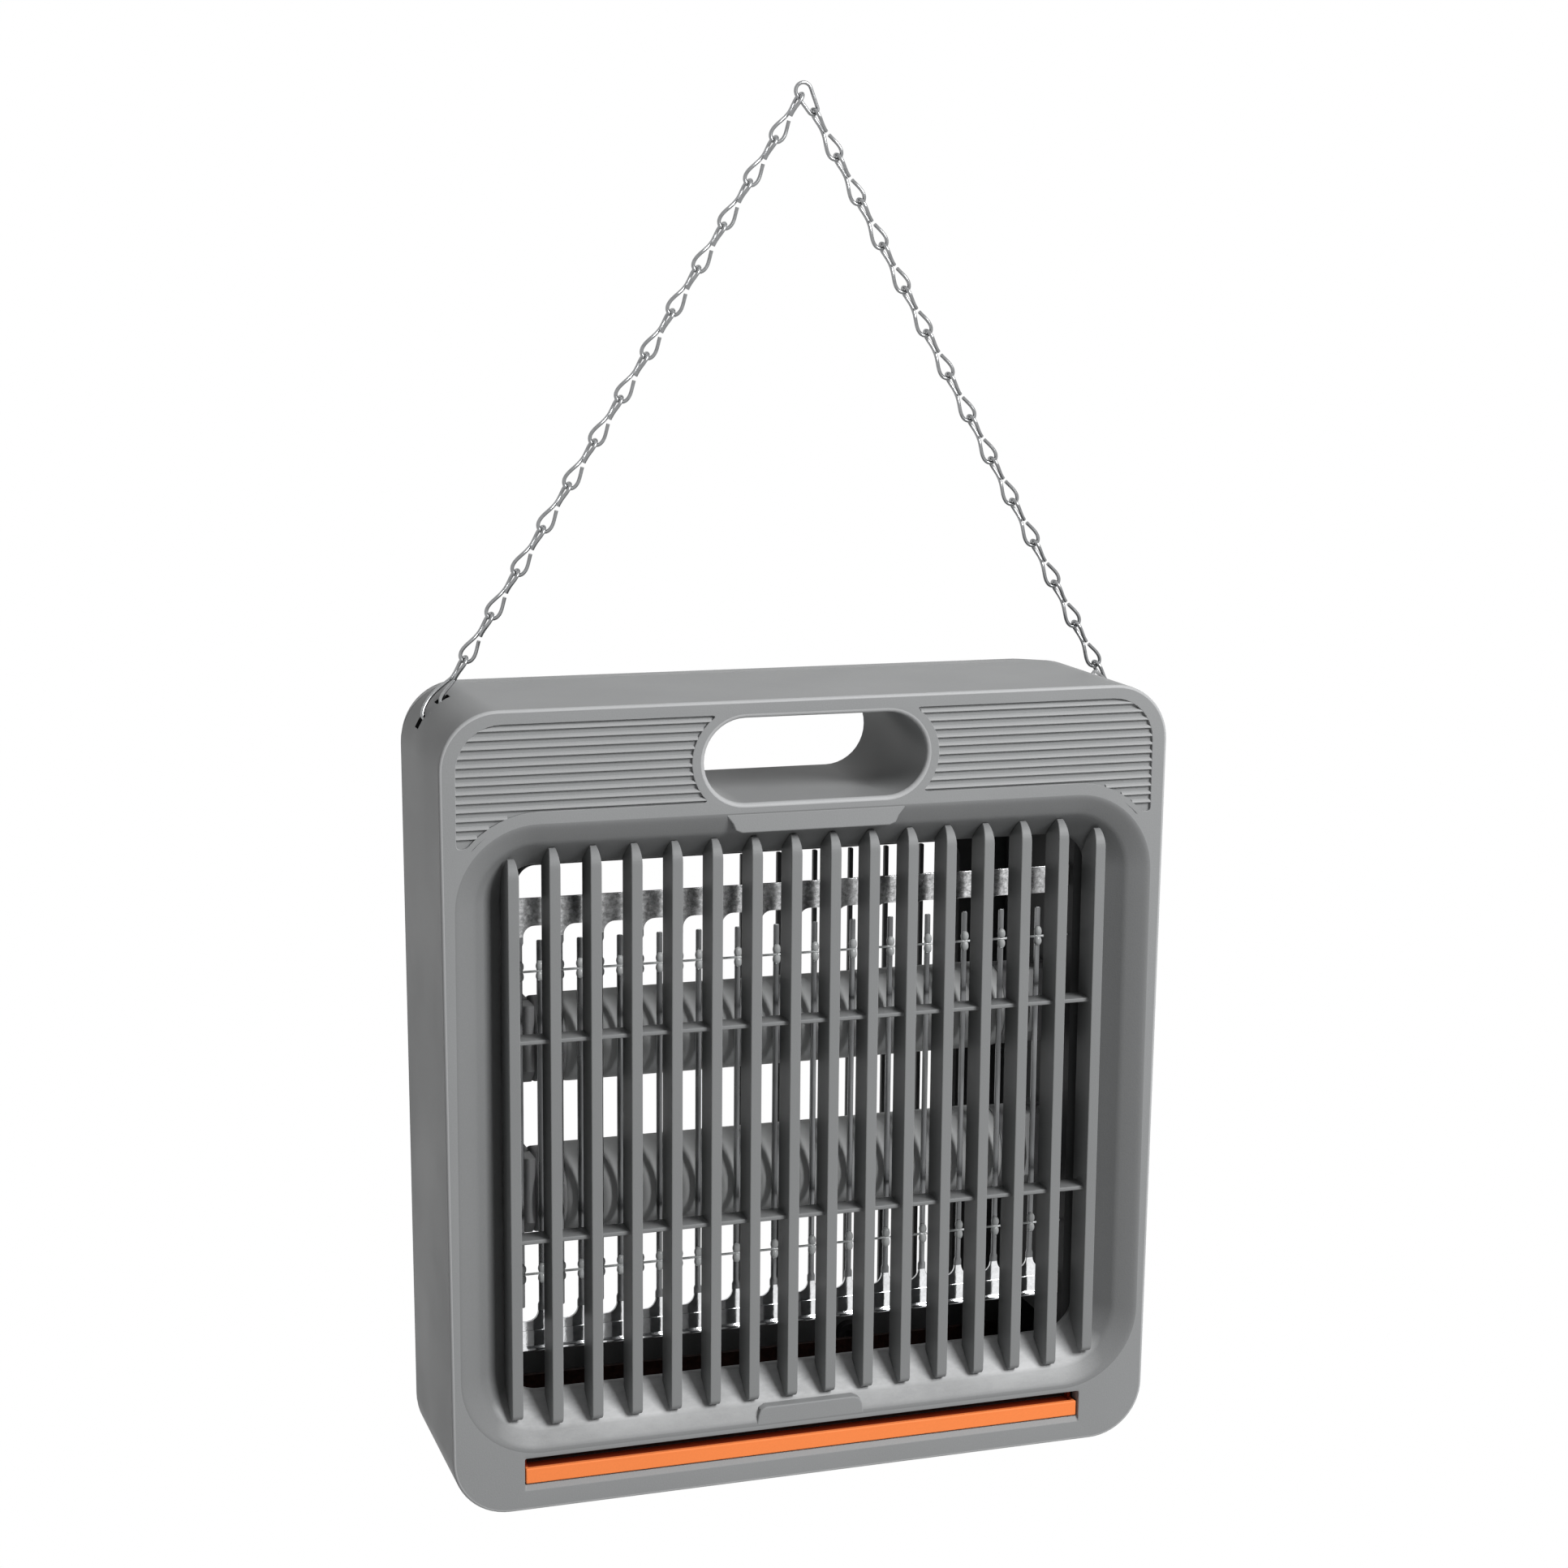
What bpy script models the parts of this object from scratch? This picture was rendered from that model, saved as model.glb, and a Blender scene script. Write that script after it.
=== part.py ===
# Hanging electric insect killer: moulded two-shell housing with a carry handle slot, finned
# guards front and rear, comb electrodes, two tubes, a pull-out collecting tray and a jack chain.
# Built in a frame with the front face at Y = 0, the base at Z = 0 and the middle at X = 0,
# then hung so that the world origin is where a hook meets the top eye of the chain.
import math

import bmesh
import bpy
from mathutils import Matrix, Vector

MM = 0.001

# Housing
width = 312.2 * MM
height = 334.2 * MM
depth = 103.0 * MM
rear_shell_depth = 25.0 * MM
foot_inset = 2.3 * MM  # each side leans in this much from top to base
rear_draft = 5.0 * MM  # each side of the rear shell draws in this much
roof_draft = 2.4 * MM  # the top of the rear shell falls this much
corner_radius = 24.0 * MM
edge_radius = 2.4 * MM
wall = 2.5 * MM
seam_gap = 0.3 * MM
fit_gap = 0.3 * MM  # between pieces that touch on the real object
corner_steps = 6
parting = depth - rear_shell_depth  # from the front face to the joint between the shells
inner_back = depth - wall

# Dished window in the front face
side_rim = 7.1 * MM  # from the dish to the housing's side
head_height = 47.2 * MM  # from the dish to the housing's top
dish_bottom = 25.7 * MM
dish_radius = 33.0 * MM
dish_depth = 18.0 * MM
dish_inset = 18.5 * MM
dish_knee_depth = 5.0 * MM  # the ramp is steeper in front of this depth
dish_knee_inset = 7.6 * MM
dish_half = width / 2 - side_rim
dish_top = height - head_height

# Rear window
rear_window_rim = 26.1 * MM
rear_window_foot = 8.3 * MM  # above the dish's lower edge
rear_window_head = 40.5 * MM  # below the dish's upper edge
rear_window_radius = 8.0 * MM
rear_window_half = width / 2 - rear_window_rim
rear_window_bottom = dish_bottom + rear_window_foot
rear_window_top = dish_top - rear_window_head

# Carry handle slot
slot_half = 47.8 * MM
slot_height = 34.8 * MM
slot_edge = 7.3 * MM  # from the slot to the housing's top
slot_side_flare = 11.5 * MM  # extra room at each end in the rear shell
slot_foot_flare = 4.5 * MM  # extra room below in the rear shell
sleeve_wall = 2.2 * MM
slot_steps = 8
slot_top = height - slot_edge
slot_bottom = slot_top - slot_height

# Flat tabs that run over the dish ramp
upper_tab_root = 37.5 * MM
upper_tab_tip = 33.0 * MM
upper_tab_length = 7.2 * MM
lower_tab_root = 23.2 * MM
lower_tab_tip = 18.0 * MM
lower_tab_length = 7.0 * MM

# Ribbed grip panels beside the handle slot
panel_rim = 6.6 * MM  # from the panel to the housing's side
panel_head = 5.6 * MM  # from the panel to the housing's top
panel_foot = 6.0 * MM  # from the dish up to the panel
panel_drop = 7.5 * MM  # how far the panel's outer end reaches below the dish's top
panel_margin = 4.7 * MM  # band between the slot's round end and the panel
rib_pitch = 3.55 * MM
rib_width = 1.05 * MM
rib_depth = 1.0 * MM
panel_outer = width / 2 - panel_rim
panel_top = height - panel_head
panel_bottom = dish_top + panel_foot
panel_tail = dish_top - panel_drop

# Grid shared by the guards and the electrodes
fin_count = 16
fin_end_gap = 22.0 * MM  # from the last fin's middle to the dish's side
fin_pitch = 2 * (dish_half - fin_end_gap) / (fin_count - 1)
grid_places = [(i - (fin_count - 1) / 2) * fin_pitch for i in range(fin_count)]
gap_places = [(a + b) / 2 for a, b in zip(grid_places, grid_places[1:])]

# Electrodes
comb_gap = 8.0 * MM  # behind the dish
comb_sheet = 0.8 * MM
comb_land = 1.7 * MM  # from the last tooth to the end of its strip
strip_height = 8.9 * MM
upper_web = 2.9 * MM  # from the strip's fold to the roots of its teeth
lower_web = 4.0 * MM
upper_strip_head = 34.4 * MM  # below the dish's upper edge
lower_strip_foot = 42.1 * MM  # above the dish's lower edge
flange_depth = 7.0 * MM
tooth_width = 2.5 * MM
tooth_root = 4.5 * MM  # fillet where a tooth meets its web
tooth_clear = 6.0 * MM  # from a tooth's tip to the other comb's web
rod_diameter = 1.0 * MM
lower_rod_rise = 24.9 * MM
upper_rod_drop = 30.6 * MM
comb_plane = dish_depth + comb_gap
comb_half = gap_places[-1] + tooth_width / 2 + comb_land
upper_strip_top = dish_top - upper_strip_head
lower_strip_top = dish_bottom + lower_strip_foot
rod_heights = (lower_strip_top + lower_rod_rise, upper_strip_top - upper_rod_drop)

# Guards
guard_shift = 1.1 * MM  # the front guard sits this far right of the middle
fin_thickness = 2.5 * MM
fin_front = 1.8 * MM
fin_comb_gap = 2.4 * MM  # from the fins to the electrodes
fin_foot = 9.1 * MM  # above the dish's lower edge
fin_head = 9.2 * MM  # below the dish's upper edge
fin_roll = 7.0 * MM  # rounding of a fin's upper front corner
fin_toe = 3.0 * MM  # rounding of its lower front corner
bar_foot = 87.9 * MM  # lower cross plate above the dish's lower edge
bar_head = 89.4 * MM  # upper cross plate below the dish's upper edge
bar_thickness = 2.2 * MM
bar_setback = 2.4 * MM
bar_depth = 13.0 * MM
rear_fin_depth = 3.0 * MM
rear_fin_thickness = 2.0 * MM
rear_bar_drop = 14.8 * MM  # below the tube each rear plate stands behind
rear_bar_setback = 2.0 * MM
rear_bar_depth = 5.0 * MM
fin_back = comb_plane - fin_comb_gap
fin_bottom = dish_bottom + fin_foot
fin_top = dish_top - fin_head
bar_heights = (dish_bottom + bar_foot, dish_top - bar_head)
rear_bar_front = depth - rear_bar_setback - rear_bar_depth
fin_places = [x + guard_shift for x in grid_places]

# Side panels inside the window
insulator_room = 2.5 * MM  # from the end of a strip to the panel
side_panel_sheet = 2.0 * MM
side_panel_flange = 13.0 * MM
side_panel_foot = 16.3 * MM
side_panel_head = 17.0 * MM
side_panel_inner = comb_half + insulator_room
side_panel_bottom = dish_bottom + side_panel_foot
side_panel_top = dish_top - side_panel_head

# Tubes and lamp holders
tube_diameter = 37.5 * MM
tube_setback = 22.0 * MM  # from the electrodes to the tubes' axes
tube_spacing = 65.5 * MM
tube_drop = 1.6 * MM  # of the pair below the dish's middle
cap_length = 12.0 * MM
cap_inset = 0.7 * MM
pin_spacing = 12.7 * MM
pin_diameter = 2.35 * MM
pin_length = 7.0 * MM
holder_depth = 13.5 * MM
holder_width = 24.0 * MM
holder_height = 34.0 * MM
holder_slot = 3.2 * MM
tube_axis = comb_plane + tube_setback
tube_middle = (dish_top + dish_bottom) / 2 - tube_drop
tube_heights = (tube_middle - tube_spacing / 2, tube_middle + tube_spacing / 2)
rear_bar_heights = [z - rear_bar_drop for z in tube_heights]

# Collecting tray
tray_slot_rim = 32.4 * MM  # from the slot's end to the housing's side
tray_slot_gap = 3.3 * MM  # below the dish
tray_slot_height = 11.9 * MM
tray_clearance = 0.5 * MM
tray_headroom = 1.5 * MM  # less height than the slot
tray_bar_drop = 3.0 * MM  # the front bar is this much lower than the slot
tray_tail = 11.0 * MM  # less length than the housing's depth
tray_setback = 1.2 * MM
tray_wall = 1.8 * MM
tray_bar_thickness = 2.2 * MM
tray_recess = 7.0 * MM  # finger room behind the bar
tray_recess_depth = 5.0 * MM
runner_width = 6.0 * MM
runner_inset = 23.7 * MM  # from the slot's end to a runner
tray_slot_half = width / 2 - tray_slot_rim
tray_slot_top = dish_bottom - tray_slot_gap
tray_slot_bottom = tray_slot_top - tray_slot_height
tray_height = tray_slot_height - tray_headroom
tray_bar_height = tray_slot_height - tray_bar_drop
tray_length = depth - tray_tail
runner_spacing = 2 * (tray_slot_half - runner_inset)

# Electrical gear beside the handle slot, and the cord's way out
ballast_gap = 3.0 * MM  # from the handle's sleeve
ballast_end = 20.1 * MM  # to the housing's side
ballast_depth = 42.0 * MM
ballast_height = 36.0 * MM
transformer_gap = 8.5 * MM
transformer_end = 28.1 * MM
transformer_depth = 48.0 * MM
transformer_height = 38.0 * MM
gear_foot = 5.0 * MM  # below the dish's upper edge
terminal_width = 14.0 * MM
terminal_length = 46.0 * MM
terminal_height = 16.0 * MM
terminal_rise = 14.0 * MM
starter_diameter = 20.0 * MM
starter_length = 36.0 * MM
starter_rise = 18.0 * MM
gland_offset = 52.0 * MM
gland_drop = 5.7 * MM  # below the dish's lower edge
gland_bore = 7.0 * MM
gland_diameter = 13.0 * MM
gland_flange = 19.0 * MM
gland_flange_thickness = 3.0 * MM
gear_bottom = dish_top - gear_foot
sleeve_reach = slot_half + slot_side_flare + sleeve_wall
gland_height = dish_bottom - gland_drop

# Chain
link_pitch = 20.8 * MM
wire_diameter = 1.6 * MM
link_gap = 0.5 * MM
loop_half = 2.3 * MM  # half width of a loop at the wire's centre
left_link_count = 13
right_link_count = 13
link_steps = 19
top_eye_radius = 3.4 * MM
top_eye_tip_radius = 2.1 * MM
top_eye_length = 10.5 * MM  # from the middle of its round end to the outside of its narrow end
anchor_setback = 12.0 * MM  # from the holes to the parting line
anchor_angles = (math.radians(31.0), math.radians(62.0))  # the two holes, up from level
anchor_hole = 6.2 * MM
left_waist_angle = math.radians(80.0)  # the left end link has slid inwards, the right one outwards
right_waist_angle = math.radians(30.0)
left_waist_rise = 3.0 * MM  # the end link's waist above the corner
right_waist_rise = 5.0 * MM
end_link_clear = 1.3 * MM  # between the wire and the wall it passes round
anchor_depth = parting - anchor_setback
wire_radius = wire_diameter / 2
link_reach = (link_pitch + wire_diameter + link_gap) / 2


def rear_share(y):
    """How far a depth lies into the rear shell, whose sides and top draw in."""
    return max(y - parting, 0.0) / rear_shell_depth


def half_width(y, z):
    """Half the housing's width at a depth and a height."""
    return width / 2 - foot_inset * (1 - z / height) - rear_draft * rear_share(y)


def roof(y):
    return height - roof_draft * rear_share(y)


def rounded_loop(y, left, right, bottom, top, radius, lean=0.0):
    """Points round a rounded rectangle at one depth; lean draws the lower corners in."""
    points = []
    corners = ((right, top, 0, 0), (left, top, 90, 0), (left, bottom, 180, lean), (right, bottom, 270, lean))
    for x, z, start, inward in corners:
        side = 1 if x > 0 else -1
        cx = x - side * (radius + inward)
        cz = z - radius if z == top else z + radius
        for k in range(corner_steps + 1):
            angle = math.radians(start + 90 * k / corner_steps)
            points.append(Vector((cx + radius * math.cos(angle), y, cz + radius * math.sin(angle))))
    return points


def outline(y, inset):
    """The housing's outer outline at a depth, drawn in by an inset."""
    half = half_width(y, height) - inset
    return rounded_loop(y, -half, half, inset, roof(y) - inset, corner_radius - inset, foot_inset)


def dish_loop(y, inset):
    half = dish_half - inset
    return rounded_loop(y, -half, half, dish_bottom + inset, dish_top - inset, dish_radius - inset)


def ramp_inset(y):
    """How far the dish has closed in at a depth."""
    if y < dish_knee_depth:
        return dish_knee_inset * y / dish_knee_depth
    if y > dish_depth:
        return dish_inset
    t = (y - dish_knee_depth) / (dish_depth - dish_knee_depth)
    return dish_knee_inset + (dish_inset - dish_knee_inset) * t


def ramp_stations():
    return (0.0, dish_knee_depth / 2, dish_knee_depth, (dish_knee_depth + dish_depth) / 2, dish_depth)


def window_loop(y):
    half = rear_window_half
    return rounded_loop(y, -half, half, rear_window_bottom, rear_window_top, rear_window_radius)


def material(name, colour, roughness, metallic=0.0):
    found = bpy.data.materials.new(name)
    found.use_nodes = True
    shader = found.node_tree.nodes["Principled BSDF"]
    shader.inputs["Base Color"].default_value = (*colour, 1.0)
    shader.inputs["Roughness"].default_value = roughness
    shader.inputs["Metallic"].default_value = metallic
    return found


def mesh_object(name, bm, finish=None):
    """Close a bmesh into an object that hangs from the shared frame."""
    bmesh.ops.recalc_face_normals(bm, faces=bm.faces)
    mesh = bpy.data.meshes.new(name)
    bm.to_mesh(mesh)
    bm.free()
    obj = bpy.data.objects.new(name, mesh)
    bpy.context.scene.collection.objects.link(obj)
    obj.parent = hang_frame
    if finish is None:
        obj.hide_render = True
        obj.display_type = "WIRE"
    else:
        mesh.materials.append(material(name, *finish))
        mesh.shade_smooth()
        mesh.set_sharp_from_angle(angle=math.radians(30))
    return obj


def ring_of_loops(bm, loops):
    """Bridge loops one after another and back to the first: a wall carried round an outline."""
    rings = [[bm.verts.new(p) for p in loop] for loop in loops]
    for a, b in zip(rings, rings[1:] + rings[:1]):
        for i in range(len(a)):
            j = (i + 1) % len(a)
            bm.faces.new((a[i], a[j], b[j], b[i]))


def prism(bm, points, shift):
    """Extrude a closed flat outline along a vector."""
    near = [bm.verts.new(p) for p in points]
    far = [bm.verts.new(Vector(p) + Vector(shift)) for p in points]
    bm.faces.new(near)
    bm.faces.new(list(reversed(far)))
    for i in range(len(near)):
        j = (i + 1) % len(near)
        bm.faces.new((near[i], far[i], far[j], near[j]))


def box(bm, low, high):
    (x0, y0, z0), (x1, y1, z1) = low, high
    prism(bm, [(x0, y0, z0), (x1, y0, z0), (x1, y0, z1), (x0, y0, z1)], (0, y1 - y0, 0))


def rod(bm, start, end, diameter, sides=12):
    """A round bar between two points."""
    start, end = Vector(start), Vector(end)
    turn = Vector((0, 0, 1)).rotation_difference(end - start).to_matrix().to_4x4()
    place = Matrix.Translation((start + end) / 2) @ turn
    size = {"radius1": diameter / 2, "radius2": diameter / 2, "depth": (end - start).length}
    bmesh.ops.create_cone(bm, cap_ends=True, segments=sides, matrix=place, **size)


def stadium(y, half, bottom, top):
    """A slot outline with full round ends."""
    radius = (top - bottom) / 2
    middle = (top + bottom) / 2
    points = []
    for side, start in ((1, -90), (-1, 90)):
        for k in range(slot_steps + 1):
            angle = math.radians(start + 180 * k / slot_steps)
            x = side * (half - radius) + radius * math.cos(angle)
            points.append((x, y, middle + radius * math.sin(angle)))
    return points


def combine(target, other, operation):
    """Run one Boolean on a piece and drop the tool piece."""
    step = target.modifiers.new(operation.lower(), "BOOLEAN")
    step.operation = operation
    step.solver = "EXACT"
    step.object = other
    graph = bpy.context.evaluated_depsgraph_get()
    merged = bpy.data.meshes.new_from_object(target.evaluated_get(graph), depsgraph=graph)
    target.modifiers.remove(step)
    old = target.data
    target.data = merged
    bpy.data.meshes.remove(old)
    bpy.data.objects.remove(other)
    merged.shade_smooth()
    merged.set_sharp_from_angle(angle=math.radians(30))


def tool(build):
    """A hidden piece used only to cut or join."""
    bm = bmesh.new()
    build(bm)
    return mesh_object("tool", bm)


def anchor_point(side, angle, y=anchor_depth, inset=0.0):
    """A point on the housing's rounded top corner."""
    radius = corner_radius - inset
    x = half_width(y, height) - corner_radius + radius * math.cos(angle)
    return Vector((side * x, y, roof(y) - corner_radius + radius * math.sin(angle)))


def end_waist(side):
    """Where the end link's wires cross, clear of the rounded corner."""
    if side < 0:
        return anchor_point(side, left_waist_angle, inset=-left_waist_rise)
    return anchor_point(side, right_waist_angle, inset=-right_waist_rise)


def top_eye_middle():
    """Where both taut chain sides meet, from their lengths and the two end links."""
    inside = wire_radius + link_gap / 2
    left = (left_link_count + 0.5) * link_pitch + top_eye_radius - inside
    right = (right_link_count + 0.5) * link_pitch + top_eye_length - inside
    base = end_waist(1) - end_waist(-1)
    span = base.length
    along = (left * left - right * right + span * span) / (2 * span)
    rise = math.sqrt(left * left - along * along)
    return end_waist(-1) + base * (along / span) + Vector((-base.z, 0, base.x)) * (rise / span)


for old_object in list(bpy.data.objects):
    bpy.data.objects.remove(old_object)

hang_point = top_eye_middle() + Vector((0, 0, top_eye_radius - wire_radius))
hang_frame = bpy.data.objects.new("hang_frame", None)
hang_frame.location = -hang_point
bpy.context.scene.collection.objects.link(hang_frame)

grey_plastic = ((0.26, 0.27, 0.27), 0.55)
dark_plastic = ((0.05, 0.052, 0.055), 0.6)
orange_plastic = ((0.9, 0.3, 0.1), 0.5)
zinc_sheet = ((0.72, 0.73, 0.74), 0.25, 1.0)
chain_wire = material("chain_wire", (0.66, 0.67, 0.68), 0.22, 1.0)
white_glass = ((0.86, 0.87, 0.86), 0.15)
clear_rod = ((0.82, 0.85, 0.85), 0.1)
white_plastic = ((0.8, 0.8, 0.77), 0.5)
steel_core = ((0.35, 0.36, 0.37), 0.45, 1.0)


def front_shell():
    bm = bmesh.new()
    ramp = ramp_stations()
    loops = [outline(parting, 0), outline(edge_radius, 0)]
    loops += [outline(0.3 * edge_radius, 0.3 * edge_radius), outline(0, edge_radius)]
    loops += [dish_loop(y, ramp_inset(y)) for y in ramp]
    loops += [dish_loop(y + wall, ramp_inset(y)) for y in reversed(ramp[1:])]
    loops += [dish_loop(wall, -wall / 2), outline(wall, wall), outline(parting, wall)]
    ring_of_loops(bm, loops)
    shell = mesh_object("front_shell", bm, grey_plastic)
    combine(shell, tool(front_sleeve), "UNION")
    combine(shell, tool(tray_runners), "UNION")
    combine(shell, tool(tabs), "UNION")
    combine(shell, tool(front_openings), "DIFFERENCE")
    combine(shell, tool(grip_grooves), "DIFFERENCE")


def front_sleeve(bm):
    """The wall of the handle slot, standing on the back of the front face."""
    outer = (slot_half + sleeve_wall, slot_bottom - sleeve_wall, slot_top + sleeve_wall)
    prism(bm, stadium(wall / 2, *outer), (0, parting - wall / 2, 0))


def tray_runners(bm):
    for side in (-1, 1):
        x = side * runner_spacing / 2
        low = (x - runner_width / 2, 2 * wall, wall / 2)
        box(bm, low, (x + runner_width / 2, parting, tray_slot_bottom + tray_clearance - fit_gap))


def tabs(bm):
    """Flat tabs level with the front face that cover part of the dish ramp."""
    for root, tip, edge, reach in (
        (upper_tab_root, upper_tab_tip, dish_top, -upper_tab_length),
        (lower_tab_root, lower_tab_tip, dish_bottom, lower_tab_length),
    ):
        back = edge - math.copysign(wall, reach)
        shape = [(-root, 0, back), (root, 0, back), (root, 0, edge), (tip, 0, edge + reach)]
        shape += [(-tip, 0, edge + reach), (-root, 0, edge)]
        prism(bm, shape, (0, dish_knee_depth, 0))


def front_openings(bm):
    """Handle slot, tray slot and chain holes."""
    prism(bm, stadium(-wall, slot_half, slot_bottom, slot_top), (0, parting + 2 * wall, 0))
    box(bm, (-tray_slot_half, -wall, tray_slot_bottom), (tray_slot_half, 1.5 * wall, tray_slot_top))
    for side in (-1, 1):
        for angle in anchor_angles:
            chain_hole(bm, side, angle)


def chain_hole(bm, side, angle):
    """A square hole through the rounded corner, square to the wall."""
    out = Vector((side * math.cos(angle), 0, math.sin(angle)))
    along = Vector((-side * math.sin(angle), 0, math.cos(angle)))
    across = Vector((0, anchor_hole / 2, 0))
    start = anchor_point(side, angle) - 2.5 * wall * out
    half = along * anchor_hole / 2
    square = [start - half - across, start + half - across, start + half + across, start - half + across]
    prism(bm, square, 4 * wall * out)


def panel_span(z):
    """Inner and outer ends of the grip panel at a height; empty below the dish corner."""
    middle = (slot_bottom + slot_top) / 2
    radius = (slot_top - slot_bottom) / 2
    round_end = radius + panel_margin
    inner = slot_half - radius + math.sqrt(max(round_end**2 - (z - middle) ** 2, 0))
    corner = corner_radius - (width / 2 - panel_outer)
    outer = panel_outer
    if z > panel_top - corner:
        outer += math.sqrt(max(corner**2 - (z - panel_top + corner) ** 2, 0)) - corner
    if z < panel_bottom:
        sweep = dish_radius + panel_bottom - dish_top
        inner = dish_half - dish_radius + math.sqrt(max(sweep**2 - (z - dish_top + dish_radius) ** 2, 0))
    return inner, outer


def grip_grooves(bm):
    """Grooves between the ribs of both grip panels, each a strip of the panel's outline."""
    count = int((panel_top - panel_tail) / rib_pitch)
    for k in range(count):
        high = panel_top - k * rib_pitch
        low = high - rib_pitch + rib_width
        if low < panel_bottom < high:
            low = panel_bottom
        levels = [low + (high - low) * t for t in (0, 0.5, 1)]
        spans = [panel_span(z) for z in levels]
        if min(b - a for a, b in spans) < rib_width:
            continue
        for side in (-1, 1):
            shape = [(side * a, -rib_depth, z) for (a, b), z in zip(spans, levels)]
            shape += [(side * b, -rib_depth, z) for (a, b), z in reversed(list(zip(spans, levels)))]
            prism(bm, shape, (0, 2 * rib_depth, 0))


def rear_shell():
    bm = bmesh.new()
    start = parting + seam_gap
    loops = [outline(start, 0), outline(depth - edge_radius, 0)]
    loops += [outline(depth - 0.3 * edge_radius, 0.3 * edge_radius), outline(depth, edge_radius)]
    loops += [window_loop(depth), window_loop(inner_back)]
    loops += [outline(inner_back, wall), outline(start, wall)]
    ring_of_loops(bm, loops)
    shell = mesh_object("rear_shell", bm, grey_plastic)
    combine(shell, tool(rear_sleeve), "UNION")
    combine(shell, tool(rear_openings), "DIFFERENCE")


def rear_sleeve(bm):
    """The wall of the wider slot in the rear shell."""
    start = parting + seam_gap
    bottom = slot_bottom - slot_foot_flare - sleeve_wall
    outer = stadium(start, sleeve_reach, bottom, min(slot_top + sleeve_wall, roof(depth) - wall / 2))
    prism(bm, outer, (0, inner_back + wall / 2 - start, 0))


def rear_openings(bm):
    """Handle slot and the cord's hole."""
    top = min(slot_top, roof(depth) - 2 * wall)
    slot = stadium(parting - wall, slot_half + slot_side_flare, slot_bottom - slot_foot_flare, top)
    prism(bm, slot, (0, depth - parting + 2 * wall, 0))
    bore = gland_diameter + 2 * fit_gap
    start = (gland_offset, inner_back - wall, gland_height)
    rod(bm, start, (gland_offset, depth + wall, gland_height), bore, 20)


def dish_edge(x, inset):
    """Half height of the dish ramp at a sideways place, measured from the dish's middle."""
    half = (dish_top - dish_bottom) / 2
    over = abs(x) - (dish_half - dish_radius)
    radius = dish_radius - inset
    if over <= 0:
        return half - inset
    return half - dish_radius + math.sqrt(max(radius**2 - over**2, 0))


def rounded(y, radius):
    """How far a rounded corner of a fin falls short at a depth."""
    t = max(1 - (y - fin_front) / radius, 0.0)
    return radius * (1 - math.sqrt(max(1 - t * t, 0.0)))


def front_fin(bm, x):
    """One guard fin: rolled top, small rounded toe, ends that lie along the dish ramp."""
    middle = (dish_top + dish_bottom) / 2
    clear = 1.6 * fit_gap
    drop = dish_edge(0, 0) - dish_edge(x, dish_inset / 2) - dish_inset / 2
    turns = [math.radians(90 * k / 4) for k in range(5)]
    depths = {fin_front + radius * (1 - math.cos(a)) for radius in (fin_roll, fin_toe) for a in turns}
    depths.update(y for y in ramp_stations() if y > fin_front + fin_toe)
    if abs(x) + fin_thickness < side_panel_inner:  # the outer fins stop short of the side panels
        depths.update((dish_depth + wall, fin_back))
    depths = sorted(depths)
    upper = []
    lower = []
    for y in depths:
        limit = dish_edge(abs(x) + fin_thickness / 2, ramp_inset(y)) - clear
        upper.append((y, min(fin_top - drop - rounded(y, fin_roll), middle + limit)))
        lower.append((y, max(fin_bottom + drop + rounded(y, fin_toe), middle - limit)))
    profile = upper + lower[::-1]
    prism(bm, [(x - fin_thickness / 2, y, z) for y, z in profile], (fin_thickness, 0, 0))


def guard_bars(bm, heights, front, back, left, right):
    for z in heights:
        box(bm, (left, front, z - bar_thickness / 2), (right, back, z + bar_thickness / 2))


def front_guard():
    bm = bmesh.new()
    for x in fin_places:
        front_fin(bm, x)
    guard = mesh_object("front_guard", bm, grey_plastic)
    front = fin_front + bar_setback
    span = (front, front + bar_depth, fin_places[0], fin_places[-1])
    combine(guard, tool(lambda made: guard_bars(made, bar_heights, *span)), "UNION")


def rear_guard():
    """Bars that stand opposite the gaps of the front guard, held by plates across the rear window."""
    bm = bmesh.new()
    for x in gap_places:
        low = (x - rear_fin_thickness / 2, depth - rear_fin_depth, rear_window_bottom + fit_gap)
        box(bm, low, (x + rear_fin_thickness / 2, depth - fit_gap, rear_window_top - fit_gap))
    guard = mesh_object("rear_guard", bm, grey_plastic)
    reach = rear_window_half - fit_gap
    span = (rear_bar_front, rear_bar_front + rear_bar_depth, -reach, reach)
    combine(guard, tool(lambda made: guard_bars(made, rear_bar_heights, *span)), "UNION")


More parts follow.
